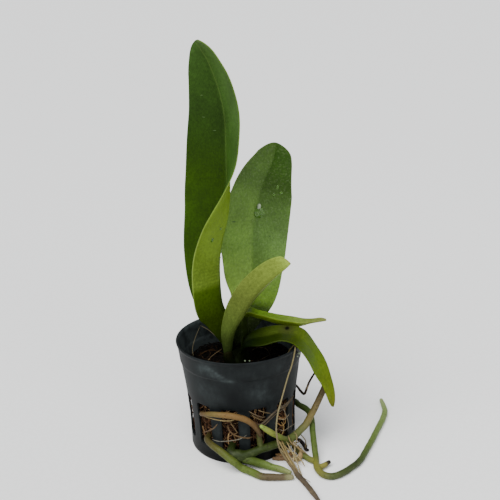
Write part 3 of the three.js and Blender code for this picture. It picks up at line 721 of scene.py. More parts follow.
def potShell(form, rings):
    # Each opening is left out of the grid. Shallow dents push the wall in by smooth noise, though
    # not at the foot or rim, and the crease by a step that fades below it.
    azimuth, radius, z = potGrid(form, rings)
    azimuth, z, slotCell = cutSlots(azimuth, radius, z, form)
    azimuth, radius, drainCell = cutDrains(azimuth, radius, z, form, rings)
    turns = np.radians(azimuth)
    giveHeights, giveShares = zip(*form["give"])
    give = np.interp(z, giveHeights, giveShares)
    waves = ripple(form["seed"], *onCircle(turns, form["dentTurns"]), z / form["dentPitch"])
    dents = form["dent"] * give * (1 + waves) / 2
    past, near = pastCrease((azimuth + 180) % 360 - 180, z, form)
    step = near * np.exp(-np.maximum(past, 0) / form["creaseFade"])
    dents = dents + form["creaseDepth"] * step / (1 + np.exp(-form["creaseSharp"] * past))
    points = place(azimuth, radius - dents, z)

    # marks: the film's thickness, a painted highlight along the crease, and 0 at the foot to 1 above it,
    # which also keeps the foot painted dark as shade
    creaseGlint = form["creaseHighlight"] * near * np.exp(-(past / form["creaseLine"]) ** 2)
    risen = np.clip((z - form["filmFrom"]) / (form["filmWhole"] - form["filmFrom"]), 0, 1)
    potMarks = np.stack([filmAndSheenThickness(azimuth, z), creaseGlint, risen], -1)

    # the underside's middle is one more point with a fan round it, and points in no face are dropped
    rows, columns = azimuth.shape
    quads = gridFaces(rows, columns)[~(slotCell | drainCell).ravel()]
    pole = rows * columns
    ring = np.arange(columns)
    fan = np.stack([np.full(columns, pole), (ring + 1) % columns, ring], -1)
    keep = np.unique(np.concatenate([quads.ravel(), fan.ravel()]))
    renumber = np.zeros(pole + 1, int)
    renumber[keep] = np.arange(len(keep))
    points = np.vstack([points.reshape(-1, 3), [(0, 0, 0)]])[keep]
    potMarks = np.vstack([potMarks.reshape(-1, 3), [(0, 0, 0)]])[keep]
    return points, renumber[quads].tolist() + renumber[fan].tolist(), potMarks


# Sizes in millimetres of the film's clouds, its runs and the skin's specks, how thick the film is
# everywhere, how much painted light lifts the inner wall, and the tones of the plastic, of its foot,
# painted darker as shade, and of the film, which is partly painted reflection. Clouds and runs thin
# and thicken the film between their shades, and runs are stretched upright.
potGrain = dict(clouds=9, runs=2.4, specks=0.7, thinFilm=0.14, paintedInsideLight=0.8, body="#090c0d",
                foot="#000101", filmAndSheen="#353b3b", cloudShade=(0.35, 1.25), runShade=(0.7, 1.2),
                runStretch=(1.0, 1.0, 0.35), gloss=(0.52, 0.8))


def mouldedPolypropylene():
    # injection moulded polypropylene, blue-black: a soft satin skin under a thin film of dried hard
    # water, patchy and streaked, that is dull and grey; part of the film is painted reflection, the foot
    # is painted dark as shade and the inner wall is painted lighter
    material, shader, coordinates = addMaterial("mouldedPolypropylene", Roughness=0.5, IOR=1.49,
                                                Specular_IOR_Level=0.1)
    potMarks = addNode(material, "Attribute", out="Vector", attribute_name="potMarks")
    marks = addNode(material, "SeparateXYZ", (potMarks,)).node.outputs
    clouds = addNode(material, "TexNoise", (coordinates, perMetre(potGrain["clouds"]), 6.0, 0.65))
    streaks = addNode(material, "Mapping", {"Vector": coordinates, "Scale": potGrain["runStretch"]})
    runs = addNode(material, "TexNoise", (streaks, perMetre(potGrain["runs"]), 4.0))
    specks = addNode(material, "TexNoise", (coordinates, perMetre(potGrain["specks"])))
    cloudy = addNode(material, "MapRange", (clouds, 0.38, 0.62, *potGrain["cloudShade"]))
    everywhere = addNode(material, "Math", (marks["Z"], potGrain["thinFilm"], marks["X"]),
                         operation="MULTIPLY_ADD")

    # inside the pot, where the face looks back at the axis, the grey is raised further: painted light on
    # the shaded inner wall
    fromAxis = addNode(material, "VectorMath", (coordinates, (1.0, 1.0, 0.0)), operation="MULTIPLY")
    normal = coordinates.node.outputs["Normal"]
    outwards = addNode(material, "VectorMath", (fromAxis, normal), operation="DOT_PRODUCT")
    inside = addNode(material, "MapRange", (outwards, 0.0, -10 * mm, 0.0, potGrain["paintedInsideLight"]))
    layer = addNode(material, "Math", (everywhere, inside), operation="ADD")
    thick = addNode(material, "Math", (layer, cloudy), operation="MULTIPLY")
    streaky = addNode(material, "MapRange", (runs, 0.35, 0.65, *potGrain["runShade"]))
    filmAndSheen = addNode(material, "Math", (thick, streaky, marks["Y"]), operation="MULTIPLY_ADD", use_clamp=True)
    # the foot's tone is painted shade, darker than the plastic above it
    body = addNode(material, "Mix", (marks["Z"], potGrain["foot"], potGrain["body"]), data_type="RGBA")
    colour = addNode(material, "Mix", (filmAndSheen, body, potGrain["filmAndSheen"]), data_type="RGBA")
    gloss = addNode(material, "MapRange", (filmAndSheen, 0.0, 1.0, *potGrain["gloss"]))
    bump = addNode(material, "Bump", {"Strength": 0.12, "Distance": 0.2 * mm, "Height": specks})
    return linked(material, shader, Base_Color=colour, Roughness=gloss, Normal=bump)


points, faces, potMarks = potShell(potForm, potRings)
pot = addMesh("pot_basket", points, faces, mouldedPolypropylene(), dict(potMarks=potMarks))
wall = pot.modifiers.new("wall", "SOLIDIFY")
wall.thickness = potForm["wall"] * mm
wall.offset = -1
wall.use_even_offset = True
soften = pot.modifiers.new("soften", "BEVEL")
soften.width = potForm["edge"] * mm
soften.segments = 2
soften.limit_method = "ANGLE"
soften.angle_limit = math.radians(potForm["edgeAngle"])
finishPiece(pot, "pot_plastic", "pot")
print("pot ready")

# Each run is a list of x, y, z and radius, with its colours from start to end. Runs after the
# first branch from it. dips is how deep its rings of wrinkles are, as a share of its radius.
rootForms = {
    "root_tan": dict(slot="root_tan", seed=21, sides=20, dips=0.05, runs=[dict(
        points=[(-15.5, -14.5, 27, 1.3), (-23, -22, 28.8, 1.3), (-20.5, -27.8, 31.5, 1.35),
                (-15, -31.8, 33.3, 1.6), (-5.7, -35.3, 33.9, 1.75), (1.4, -36, 32, 1.75),
                (6.9, -35.4, 27.2, 1.6), (10, -34.2, 20.5, 1.2)],
        tones=[(0, "#312613"), (0.3, "#4d3c20"), (0.42, "#5b4f28"), (0.55, "#624b27"), (0.75, "#5c4524"),
               (0.88, "#4f3d23"), (1, "#392e1e")])]),
    "root_front": dict(slot="root_green", seed=22, sides=22, dips=0.1, runs=[dict(
        points=[(-13, -14, 15, 1.8), (-20.6, -24.5, 14.2, 1.8), (-17.5, -30.9, 13, 1.9),
                (-12.4, -35.7, 11.5, 2.1), (-6.7, -39.8, 8.4, 2.2), (-1.2, -39.4, 3, 2.1),
                (4.6, -43.2, 2.4, 2.1), (10.2, -47.5, 2.3, 2.1), (18.7, -48.7, 2.2, 1.9),
                (26.4, -48.6, 1.9, 1.5)],
        tones=[(0, "#27210e"), (0.25, "#3c3616"), (0.33, "#424217"), (0.5, "#46531c"), (0.72, "#4b5921"),
               (0.79, "#463c26"), (0.94, "#4e4430"), (0.97, "#6a6848"), (1, "#747050")])]),
    "root_forked": dict(slot="root_green", seed=23, sides=22, dips=0.04, runs=[
        dict(points=[(-3, -18, 14, 2), (-6.5, -31, 11.5, 2.2), (-6.6, -35, 10, 2.9),
                     (-2.2, -36.2, 8.8, 3.5), (3, -35.8, 9.3, 2.7), (10.1, -33.9, 11.3, 2.3),
                     (19.7, -29.4, 11.5, 2.3), (27.3, -24.2, 11.3, 2.3), (33.7, -18, 13.4, 2.1),
                     (38.1, -14.5, 16.8, 2.1), (44.2, -10, 26.1, 1.9), (48.3, -7, 33.6, 1.8),
                     (49.9, -6, 37.2, 1.5)],
             tones=[(0, "#101506"), (0.2, "#1c2706"), (0.35, "#232f09"), (0.5, "#323c13"),
                    (0.6, "#4a5226"), (0.68, "#5a5c33"), (0.76, "#655a30"), (0.86, "#5b4e2f"),
                    (1, "#423725")]),
        dict(points=[(-3.6, -35.4, 9.4, 2.3), (-0.4, -36.4, 8.2, 2.7), (4.2, -37.3, 6.1, 2.6),
                     (10.5, -36.9, 3.4, 2.4), (16.2, -38.7, 2.4, 2), (21.5, -41.4, 2.2, 1.8),
                     (25.6, -44.2, 2.1, 1.3)],
             tones=[(0, "#242e0e"), (0.35, "#42521e"), (0.7, "#57682d"), (1, "#727849")]),
        dict(points=[(25.9, -25.7, 11.6, 1.5), (21.8, -30.2, 16.1, 1.6), (17.6, -33.5, 20.5, 1.7),
                     (13.8, -35.6, 24.5, 1.6), (10.8, -37.6, 28, 1.1)],
             tones=[(0, "#3c4420"), (0.4, "#5a6426"), (0.8, "#787e34"), (1, "#6e8238")]),
        dict(points=[(10.3, -33.6, 11.3, 1.7), (9.6, -33, 15, 1.7), (9.2, -32, 19.5, 1.4)],
             tones=[(0, "#2c3812"), (1, "#3a3c18")])]),
    "root_right": dict(slot="root_green", seed=24, sides=18, dips=0.08, runs=[
        dict(points=[(20, 6, 18, 1.7), (31, 9, 18, 1.7), (34.3, 4, 17.9, 1.8), (38.8, -2, 17.7, 1.8),
                     (40.9, -7, 15.4, 1.8), (41.1, -14, 10.7, 1.8), (41.2, -22, 6.8, 1.8),
                     (41.5, -29.5, 3.2, 1.8), (41.3, -34.6, 2.3, 1.9), (41.6, -41.1, 2.2, 2),
                     (43.7, -46.9, 2.1, 1.9), (48.3, -49.6, 2.1, 1.9), (54.1, -47.4, 2.1, 1.9),
                     (61, -41.2, 2.1, 1.8), (66.7, -34.2, 2.1, 1.8), (71.7, -23.7, 2.1, 1.8),
                     (76.1, -13.9, 2.1, 1.8), (81.9, -0.2, 2.1, 1.8), (86.9, 11.8, 2, 1.8),
                     (89.75, 22.2, 1.9, 1.7), (89.7, 35.9, 1.6, 1.2)],
             tones=[(0, "#2c3813"), (0.1, "#303f16"), (0.2, "#455724"), (0.32, "#495722"),
                    (0.37, "#696729"), (0.41, "#64632b"), (0.45, "#38411d"), (0.55, "#2e3819"),
                    (0.7, "#4a5b23"), (0.9, "#66783f"), (1, "#83905d")]),
        dict(points=[(41.3, -34.6, 2.3, 1.7), (37.8, -31.5, 2.1, 1.7), (34.4, -26.2, 2.1, 1.8),
                     (31.5, -21.9, 2.6, 1.7), (29.3, -19.7, 3.2, 1.2)],
             tones=[(0, "#67652a"), (0.35, "#535c2c"), (1, "#594f2e")]),
        dict(points=[(41.6, -41.1, 2.2, 1.7), (45.6, -38.6, 2.3, 1.5), (48.6, -36, 2.6, 1.1)],
             tones=[(0, "#6e6c2e"), (0.6, "#787336"), (0.8, "#2c2418"), (1, "#17120e")])]),
    "root_dry": dict(slot="root_dry", seed=25, sides=12, dips=0.08, runs=[dict(
        points=[(22, -13, 50, 0.4), (27, -16.5, 62, 0.4), (31.3, -19.6, 69, 0.4),
                (30.2, -27.4, 65.6, 0.4), (28.4, -29.8, 60, 0.4), (26.4, -32, 55.4, 0.4),
                (22.4, -35.6, 43.3, 0.42), (20, -37.2, 34.8, 0.45), (19, -37.5, 25.4, 0.5),
                (20.2, -36.8, 14.3, 0.5), (23.6, -37.1, 6.8, 0.6), (27.6, -42.7, 3.6, 0.9),
                (30.2, -47.2, 1.9, 1.5), (33.8, -55, 1.7, 1.5), (37.3, -64.4, 1.7, 1.4),
                (40.38, -72.86, 1.4, 0.9)],
        tones=[(0, "#4a3e20"), (0.2, "#635a3c"), (0.5, "#6f6649"), (0.66, "#6a6046"), (0.73, "#5c5038"),
               (0.82, "#433a2e"), (1, "#4e4436")])]),
    "root_twig": dict(slot="root_dry", seed=26, sides=10, dips=0.05, runs=[dict(
        points=[(20, 7, 26, 0.7), (31.2, 9.3, 28.5, 0.7), (33.5, 7.8, 28.5, 0.7), (35.5, 6.5, 26, 0.8),
                (37.7, 5, 24.7, 0.8), (39.3, 4, 29.1, 0.7), (40.8, 3, 33.8, 0.7), (43.5, 2, 39.3, 0.6),
                (45.3, 1, 42.4, 0.5)],
        tones=[(0, "#1c140e"), (0.5, "#241a12"), (0.6, "#3a2c20"), (0.66, "#8a7a60"), (0.72, "#3a2a1e"),
               (1, "#1f1712")])]),
}
# Sizes in millimetres: the rings' spacing, the knobs' and dips' pitches, how far the dips keep
# their depth, and the skin's silvery patches, grain and scars. blunt keeps a dome's last ring open.
# The others are shares: the knobs' height, and how silvery, scarred and shaded the skin is.
rootSkin = dict(spacing=0.55, fewest=8, domeRings=6, blunt=0.05, fine=1500, knobs=0.05, knobPitch=2.6,
                dipPitch=1.9, dipFade=9, patches=5.3, grain=0.67, scars=2.4, silver=0.18, scarred=0.6,
                shade=(0.82, 1.18))


def stepsAlong(points, skin):
    # equal steps along the spline, then at each end a dome of the end's own radius
    fine = splineAt(points, np.linspace(0, 1, skin["fine"]))
    length = lengthAlong(fine[:, :3])
    stops = np.linspace(0, length[-1], max(skin["fewest"], int(length[-1] / skin["spacing"])))
    body = np.stack([np.interp(stops, length, fine[:, k]) for k in range(4)], -1)
    turn = np.linspace(0, np.pi / 2, skin["domeRings"] + 1)[1:]
    turn[-1] -= skin["blunt"]
    ends = []
    for here, other in ((body[0], body[1]), (body[-1], body[-2])):
        way = unit(here[:3] - other[:3])
        ends.append(np.column_stack([here[:3] + way * (here[3] * np.sin(turn))[:, None],
                                     here[3] * np.cos(turn)]))
    steps = np.vstack([ends[0][::-1], body, ends[1]])
    share = np.concatenate([0 * turn, stops / length[-1], 0 * turn + 1])
    return steps, share, length[-1]


def tonesAlong(tones, share):
    # each channel, made linear, runs straight between its stops
    places = [stop for stop, _ in tones]
    channels = np.array([linearColour(tone)[:3] for _, tone in tones])
    return np.stack([np.interp(share, places, channels[:, k]) for k in range(3)], -1)


def rootMesh(form, skin):
    # each run is a tube whose radius carries smooth knobs and dips; all runs are one mesh
    sides = form["sides"]
    meshes, tones = [], []
    for number, run in enumerate(form["runs"]):
        steps, share, length = stepsAlong(run["points"], skin)
        points, faces = tubes(steps[None, :, :3], steps[None, :, 3], sides)
        turn = np.tile(np.arange(sides) * 2 * np.pi / sides, len(steps))
        far = np.repeat(share * length, sides)
        knobs = ripple(form["seed"] + number, far / skin["knobPitch"], *onCircle(turn, 1))
        dips = np.maximum(0, np.sin(far * 2 * np.pi / skin["dipPitch"])) ** 4
        dips = dips * ripple(form["seed"] + 50, far / skin["dipFade"])
        swell = 1 + skin["knobs"] * knobs - form["dips"] * np.maximum(dips, 0)
        centre = np.repeat(steps[:, :3], sides, axis=0)
        points = centre + (points - centre) * swell[:, None]
        points[:, 2] = np.maximum(points[:, 2], overFloor)
        meshes.append((points, faces))
        tones.append(tonesAlong(run["tones"], np.repeat(share, sides)))
    return *joined(meshes), dict(rootTone=np.vstack(tones))


def velamenSkin(name, pale, dark, roughness):
    # orchid root: a spongy matt skin that dries silvery in patches over green or brown flesh,
    # with fine lengthwise streaks and small dark scars
    material, shader, coordinates = addMaterial(name, Roughness=roughness, IOR=1.4, Specular_IOR_Level=0.25)
    tone = addNode(material, "Attribute", attribute_name="rootTone")
    patches = addNode(material, "TexNoise", (coordinates, perMetre(rootSkin["patches"]), 4.0, 0.65))
    grain = addNode(material, "TexNoise", (coordinates, perMetre(rootSkin["grain"]), 3.0))
    scars = addNode(material, "TexNoise", (coordinates, perMetre(rootSkin["scars"])))
    silver = addNode(material, "MapRange", (patches, 0.5, 0.74, 0.0, rootSkin["silver"]))
    silvery = addNode(material, "Mix", (silver, tone, pale), data_type="RGBA")
    scar = addNode(material, "MapRange", (scars, 0.62, 0.72, 0.0, rootSkin["scarred"]))
    scarred = addNode(material, "Mix", (scar, silvery, dark), data_type="RGBA")
    value = addNode(material, "MapRange", (grain, *noiseReach, *rootSkin["shade"]))
    toned = addNode(material, "HueSaturation", {"Color": scarred, "Value": value})
    height = addNode(material, "Math", (patches, grain), operation="ADD")
    bump = addNode(material, "Bump", {"Strength": 0.35, "Distance": 0.3 * mm, "Height": height})
    return linked(material, shader, Base_Color=toned, Normal=bump)


rootSkins = {
    "root_tan": velamenSkin("velamenTan", "#8c7444", "#33220f", 0.6),
    "root_green": velamenSkin("velamenGreen", "#747c50", "#1f1c0e", 0.55),
    "root_dry": velamenSkin("driedStele", "#8e7c54", "#221810", 0.75),
}
for name, form in rootForms.items():
    points, faces, attributes = rootMesh(form, rootSkin)
    root = addMesh(name + "_skin", points, faces, rootSkins[form["slot"]], attributes)
    finishPiece(root, form["slot"], name)
print("roots ready")

# The plug has its heights, its gaps to the wall, its hollows and bumps, and its grid. The fibres
# have how many, how long, where they start and how far they may run, how far they bulge or lift,
# their radius, how sharply they bend and how much the bend changes.
coirForm = dict(
    bottom=1.9, top=50.5, shoulder=3.5, radius=33, clear=0.1, gap=1.2, topGap=1.6, underRings=(0.4, 0.8),
    hollow=0.8, hollowTurns=9, hollowPitch=3, bumps=1.2, bumpPitch=7, sunk=1.2,
    columns=120, wallRows=50, topRows=34, seed=41,
    slotFibres=2100, slotLengths=(5, 22), acrossStarts=(-5.5, 5.5), acrossLimits=(-9, 9),
    heightStarts=(8, 36.5), heightLimits=(4, 40), fromAxis=32, behind=0.3, depth=1.9, bulge=1.2,
    bulgeFrom=0.8, bulgeOver=1.6,
    topFibres=900, topLengths=(5, 20), topStarts=31, topEdge=0.9, over=0.1, lift=2.4, liftShares=(0.1, 1),
    fibreRadius=(0.13, 0.42), endShare=0.3, bend=0.14, bendChange=0.06, samples=12, sides=3, grain=2)


def coirTop(x, y):
    # the surface of the packed fibre: level with smooth bumps, and lower near the wall by the
    # fourth power of the distance from the axis
    pitch = coirForm["bumpPitch"]
    bumps = coirForm["bumps"] * ripple(coirForm["seed"], x / pitch, y / pitch)
    return coirForm["top"] + bumps - coirForm["sunk"] * (np.hypot(x, y) / coirForm["radius"]) ** 4


def innerRadius(z):
    # the room inside the wall at a height, clear of its dents
    return wallRadius(z) - potForm["wall"] - potForm["dent"] - coirForm["clear"]


def closedLathe(grid, bottom, top):
    # rings that close on themselves, with a fan of triangles to a point at each end
    rows, columns = grid.shape[:2]
    j = np.arange(columns)
    beside = (j + 1) % columns
    last = (rows - 1) * columns
    low = np.stack([np.full(columns, rows * columns), beside, j], -1)
    high = np.stack([np.full(columns, rows * columns + 1), last + j, last + beside], -1)
    points = np.vstack([grid.reshape(-1, 3), [bottom, top]])
    return points, gridFaces(rows, columns).tolist() + low.tolist() + high.tolist()


def coirBed(form):
    # a lathed plug: the underside, the side with hollows pressed in, and the uneven top
    turn = roundTurn(form["columns"])
    shoulder = form["top"] - form["shoulder"]
    sideHeights = np.linspace(form["bottom"], shoulder, form["wallRows"])
    heights = np.concatenate([[form["bottom"]] * 2, sideHeights])
    radii = innerRadius(heights) - form["gap"]
    radii[:2] *= form["underRings"]
    aroundPlug = onCircle(turn, form["hollowTurns"])
    waves = ripple(form["seed"] + 1, *aroundPlug, heights[:, None] / form["hollowPitch"])
    dips = form["hollow"] * (1 + waves) / 2
    ringRadius = radii[:, None] - dips * (np.arange(len(radii)) > 1)[:, None]
    rise = heights[:, None] + 0 * turn
    lower = np.stack([ringRadius * np.sin(turn), -ringRadius * np.cos(turn), rise], -1)
    inwards = np.linspace(1, 0, form["topRows"], endpoint=False)[:, None]
    topRadius = (innerRadius(shoulder) - form["topGap"]) * inwards + 0 * turn
    x, y = topRadius * np.sin(turn), -topRadius * np.cos(turn)
    upper = np.stack([x, y, coirTop(x, y)], -1)
    return closedLathe(np.concatenate([lower, upper]), (0, 0, form["bottom"]),
                       (0, 0, float(coirTop(0.0, 0.0))))


def curls(random, form, count, length):
    # each fibre's heading turns by its own bend, which wanders slowly, and the fibre is the
    # running sum of its steps
    samples = form["samples"]
    heading = random.uniform(0, 2 * np.pi, (count, 1))
    bend = random.normal(0, form["bend"], (count, 1))
    wander = form["bendChange"] * np.cumsum(random.normal(0, 1, (count, samples)), 1) / samples ** 0.5
    step = length[:, None] / samples
    angle = heading + np.cumsum((bend + wander) * step, 1)
    return np.cumsum(np.cos(angle) * step, 1), np.cumsum(np.sin(angle) * step, 1)


def slotFibres(form):
    # fibres packed behind each slot, that run on behind the wall and bulge a little where it is open
    random = np.random.default_rng(form["seed"])
    count = form["slotFibres"]
    across, rise = curls(random, form, count, random.uniform(*form["slotLengths"], count))
    across = np.clip(across + random.uniform(*form["acrossStarts"], (count, 1)), *form["acrossLimits"])
    z = np.clip(random.uniform(*form["heightStarts"], (count, 1)) + rise, *form["heightLimits"])
    slot = random.integers(0, potForm["slots"], (count, 1))
    turn = np.degrees(across / form["fromAxis"])
    azimuth = potForm["firstSlot"] + slot * 360 / potForm["slots"] + turn
    # a fibre bulges once it is a little way in from every side of the slot's opening
    clear, over = form["bulgeFrom"], form["bulgeOver"]
    inAcross = np.clip((potForm["slotHalf"] - clear - np.abs(across)) / over, 0, 1)
    room = np.minimum(z - potForm["slotBottom"] - clear, potForm["slotTop"] - clear - z)
    inUp = np.clip(room / over, 0, 1)
    depth = form["depth"] * random.uniform(0, 1, (count, 1))
    bulge = random.uniform(0, form["bulge"], (count, 1)) * inAcross * inUp
    return place(azimuth, innerRadius(z) - form["behind"] - depth + bulge, z)


def topFibres(form):
    # fibres over the top, each an arch between two points of the surface
    random = np.random.default_rng(form["seed"] + 3)
    count = form["topFibres"]
    dx, dy = curls(random, form, count, random.uniform(*form["topLengths"], count))
    azimuth = random.uniform(0, 360, (count, 1))
    start = place(azimuth, form["topStarts"] * np.sqrt(random.uniform(0, 1, (count, 1))), 0)
    x, y = start[..., 0] + dx, start[..., 1] + dy
    limit = innerRadius(form["top"]) - form["topEdge"]
    inward = np.minimum(1, limit / np.hypot(x, y))
    x, y = x * inward, y * inward
    u = np.linspace(0, 1, form["samples"])
    lift = random.uniform(*form["liftShares"], (count, 1)) ** 2 * form["lift"] * np.sin(np.pi * u)
    return np.stack([x, y, coirTop(x, y) + form["over"] + lift], -1)


def coirFibre(name, tones):
    # coconut fibre: coarse woody hairs, matt, from dark umber to golden brown, near black where wet; inside
    # the pot it is darkened further as painted shade
    material, shader, coordinates = addMaterial(name, Roughness=0.8, IOR=1.4, Specular_IOR_Level=0.1)
    which = addNode(material, "Attribute", out="Vector", attribute_name="fibreTone")
    pick = addNode(material, "SeparateXYZ", (which,))
    noise = addNode(material, "TexNoise", (coordinates, perMetre(coirForm["grain"]), 3.0))
    mixed = addNode(material, "Math", (noise, 0.5, pick), operation="MULTIPLY_ADD")
    shifted = addNode(material, "Math", (mixed, 0.25), operation="SUBTRACT")
    tone = addNode(material, "ValToRGB", (shifted,), stops=tones)
    bump = addNode(material, "Bump", {"Strength": 0.4, "Distance": 0.3 * mm, "Height": noise})
    return linked(material, shader, Base_Color=tone, Normal=bump)


def fibrePiece(name, paths, form, material, seed):
    # thin tubes, most of them fine and a few thick, that taper at their ends, each of one tone
    random = np.random.default_rng(seed)
    count, samples = paths.shape[:2]
    thin, thick = form["fibreRadius"]
    size = (thin + (thick - thin) * random.uniform(0, 1, (count, 1)) ** 3) * np.ones((1, samples))
    size[:, [0, -1]] *= form["endShare"]
    points, faces = tubes(paths, size, form["sides"])
    tone = np.repeat(random.uniform(0, 1, count), samples * form["sides"])
    return addMesh(name, points, faces, material, dict(fibreTone=np.column_stack([tone, tone, tone])))


dryCoir = coirFibre("dryCoir", [(0, "#060302"), (0.3, "#20120b"), (0.55, "#3c2518"), (0.82, "#664a34"),
                                (1, "#90754f")])
# the fibre in the pot is partly wet and partly painted shade: its near black tones stand for the pot's
# shaded inside
wetShadedCoir = coirFibre("wetShadedCoir", [(0, "#030201"), (0.4, "#070402"), (0.75, "#0f0905"), (0.93, "#20140a"),
                                (1, "#3e2c18")])
points, faces = coirBed(coirForm)
bed = addMesh("coir_bed", points, faces, wetShadedCoir, dict(fibreTone=np.full((len(points), 3), 0.2)))
inSlots = fibrePiece("coir_slot_fibres", slotFibres(coirForm), coirForm, dryCoir, 5)
onTop = fibrePiece("coir_top_fibres", topFibres(coirForm), coirForm, wetShadedCoir, 6)
for piece in (bed, inSlots, onTop):
    finishPiece(piece, "coir", "coir_medium")
print("coir ready")

# The lump has its middle, radii, lumps and grid. A sheath starts at a share of its leaf's length
# and ends part way in from the leaf's base to the middle. Its half width and half depth are given
# at growAt, from its top to its foot, and at the second place it is a little wider than the leaf.
# Then come its ribs, and the skin's patches and upright fibre.
crownForm = dict(centre=(-1.5, 2, 52), radii=(7.5, 8.5, 5.5), lumps=0.06, rows=30, columns=72, seed=51,
                 sheathSteps=40, sheathSides=28, sheathTop=0.055, footShare=0.45, sheathFoot=47.5,
                 growAt=(0, 0.15, 0.5, 1), wide=(0.5, 3.1, 4.2), overLeaf=0.2, deep=(0.4, 1.6, 2.8, 4),
                 ribs=0.12, ribWaves=4, ribsWhole=0.25, patches=6.2, fibre=0.77,
                 fibreStretch=(1.0, 1.0, 0.15))


def crownLump(form):
    # an ellipsoid with smooth lumps
    rise = np.linspace(-np.pi / 2, np.pi / 2, form["rows"])[1:-1, None]
    turn = roundTurn(form["columns"])
    swell = 1 + form["lumps"] * ripple(form["seed"], *onCircle(turn, 2), rise)
    centre, radii = np.array(form["centre"]), np.array(form["radii"])
    ball = np.stack([np.cos(rise) * np.cos(turn), np.cos(rise) * np.sin(turn), np.sin(rise) + 0 * turn], -1)
    grid = centre + ball * radii * swell[..., None]
    return closedLathe(grid, centre - (0, 0, radii[2]), centre + (0, 0, radii[2]))


def sheath(leaf, form):
    # the clasping foot of a leaf: a ribbed tube from just over the leaf's base, where it is a flat
    # pinched ring, that widens as it bends inwards and down into the coir
    stations = np.array(leaf["stations"], float)
    top = splineAt(stations[:, :3], np.array([form["sheathTop"]]))[0]
    base = stations[0, :3]
    foot = np.array(form["centre"]) + (base - form["centre"]) * (form["footShare"], form["footShare"], 0)
    foot[2] = form["sheathFoot"]
    grow = np.linspace(0, 1, form["sheathSteps"])
    path = splineAt([top, base, (base + foot) / 2, foot], grow)
    atTop, halfway, atFoot = form["wide"]
    atLeaf = stations[0, 3] + form["overLeaf"]
    wide = np.interp(grow, form["growAt"], (atTop, atLeaf, halfway, atFoot))
    deep = np.interp(grow, form["growAt"], form["deep"])
    turn = roundTurn(form["sheathSides"])
    facing = np.radians(stations[0, 4])
    across = np.array([np.cos(facing), np.sin(facing), 0])
    normal = np.array([np.sin(facing), -np.cos(facing), 0])
    ribbed = np.minimum(1, grow / form["ribsWhole"])[:, None]
    rib = 1 + form["ribs"] * np.abs(np.sin(form["ribWaves"] * turn)) * ribbed
    ring = (across * (wide[:, None] * np.cos(turn) * rib)[..., None]
            + normal * (deep[:, None] * np.sin(turn) * rib)[..., None])
    return closedLathe((path[:, None] + ring)[::-1], foot, top)


def shadedShootSkin():
    # the old leaf bases on the shoot: dark fleshy green under thin brown papery scales, painted darker
    # still as shade, deep in the pot under the leaves
    material, shader, coordinates = addMaterial("shadedShootSkin", Roughness=0.7, Specular_IOR_Level=0.03)
    patches = addNode(material, "TexNoise", (coordinates, perMetre(crownForm["patches"]), 4.0))
    streaks = addNode(material, "Mapping", {"Vector": coordinates, "Scale": crownForm["fibreStretch"]})
    fibre = addNode(material, "TexNoise", (streaks, perMetre(crownForm["fibre"]), 3.0))
    tone = addNode(material, "ValToRGB", (patches,),
                   stops=[(0.35, "#080d02"), (0.55, "#0e1404"), (0.72, "#171706")])
    value = addNode(material, "MapRange", (fibre, *noiseReach, 0.7, 1.25))
    toned = addNode(material, "HueSaturation", {"Color": tone, "Value": value})
    bump = addNode(material, "Bump", {"Strength": 0.3, "Distance": 0.3 * mm, "Height": fibre})
    return linked(material, shader, Base_Color=toned, Normal=bump)


shadedShootMatter = shadedShootSkin()
points, faces = crownLump(crownForm)
finishPiece(addMesh("crown_shoot", points, faces, shadedShootMatter), "crown_green", "crown")
for name, leaf in leafForms.items():
    points, faces = sheath(leaf, crownForm)
    finishPiece(addMesh(name + "_sheath", points, faces, shadedShootMatter), "crown_green", "crown")
print("crown ready")

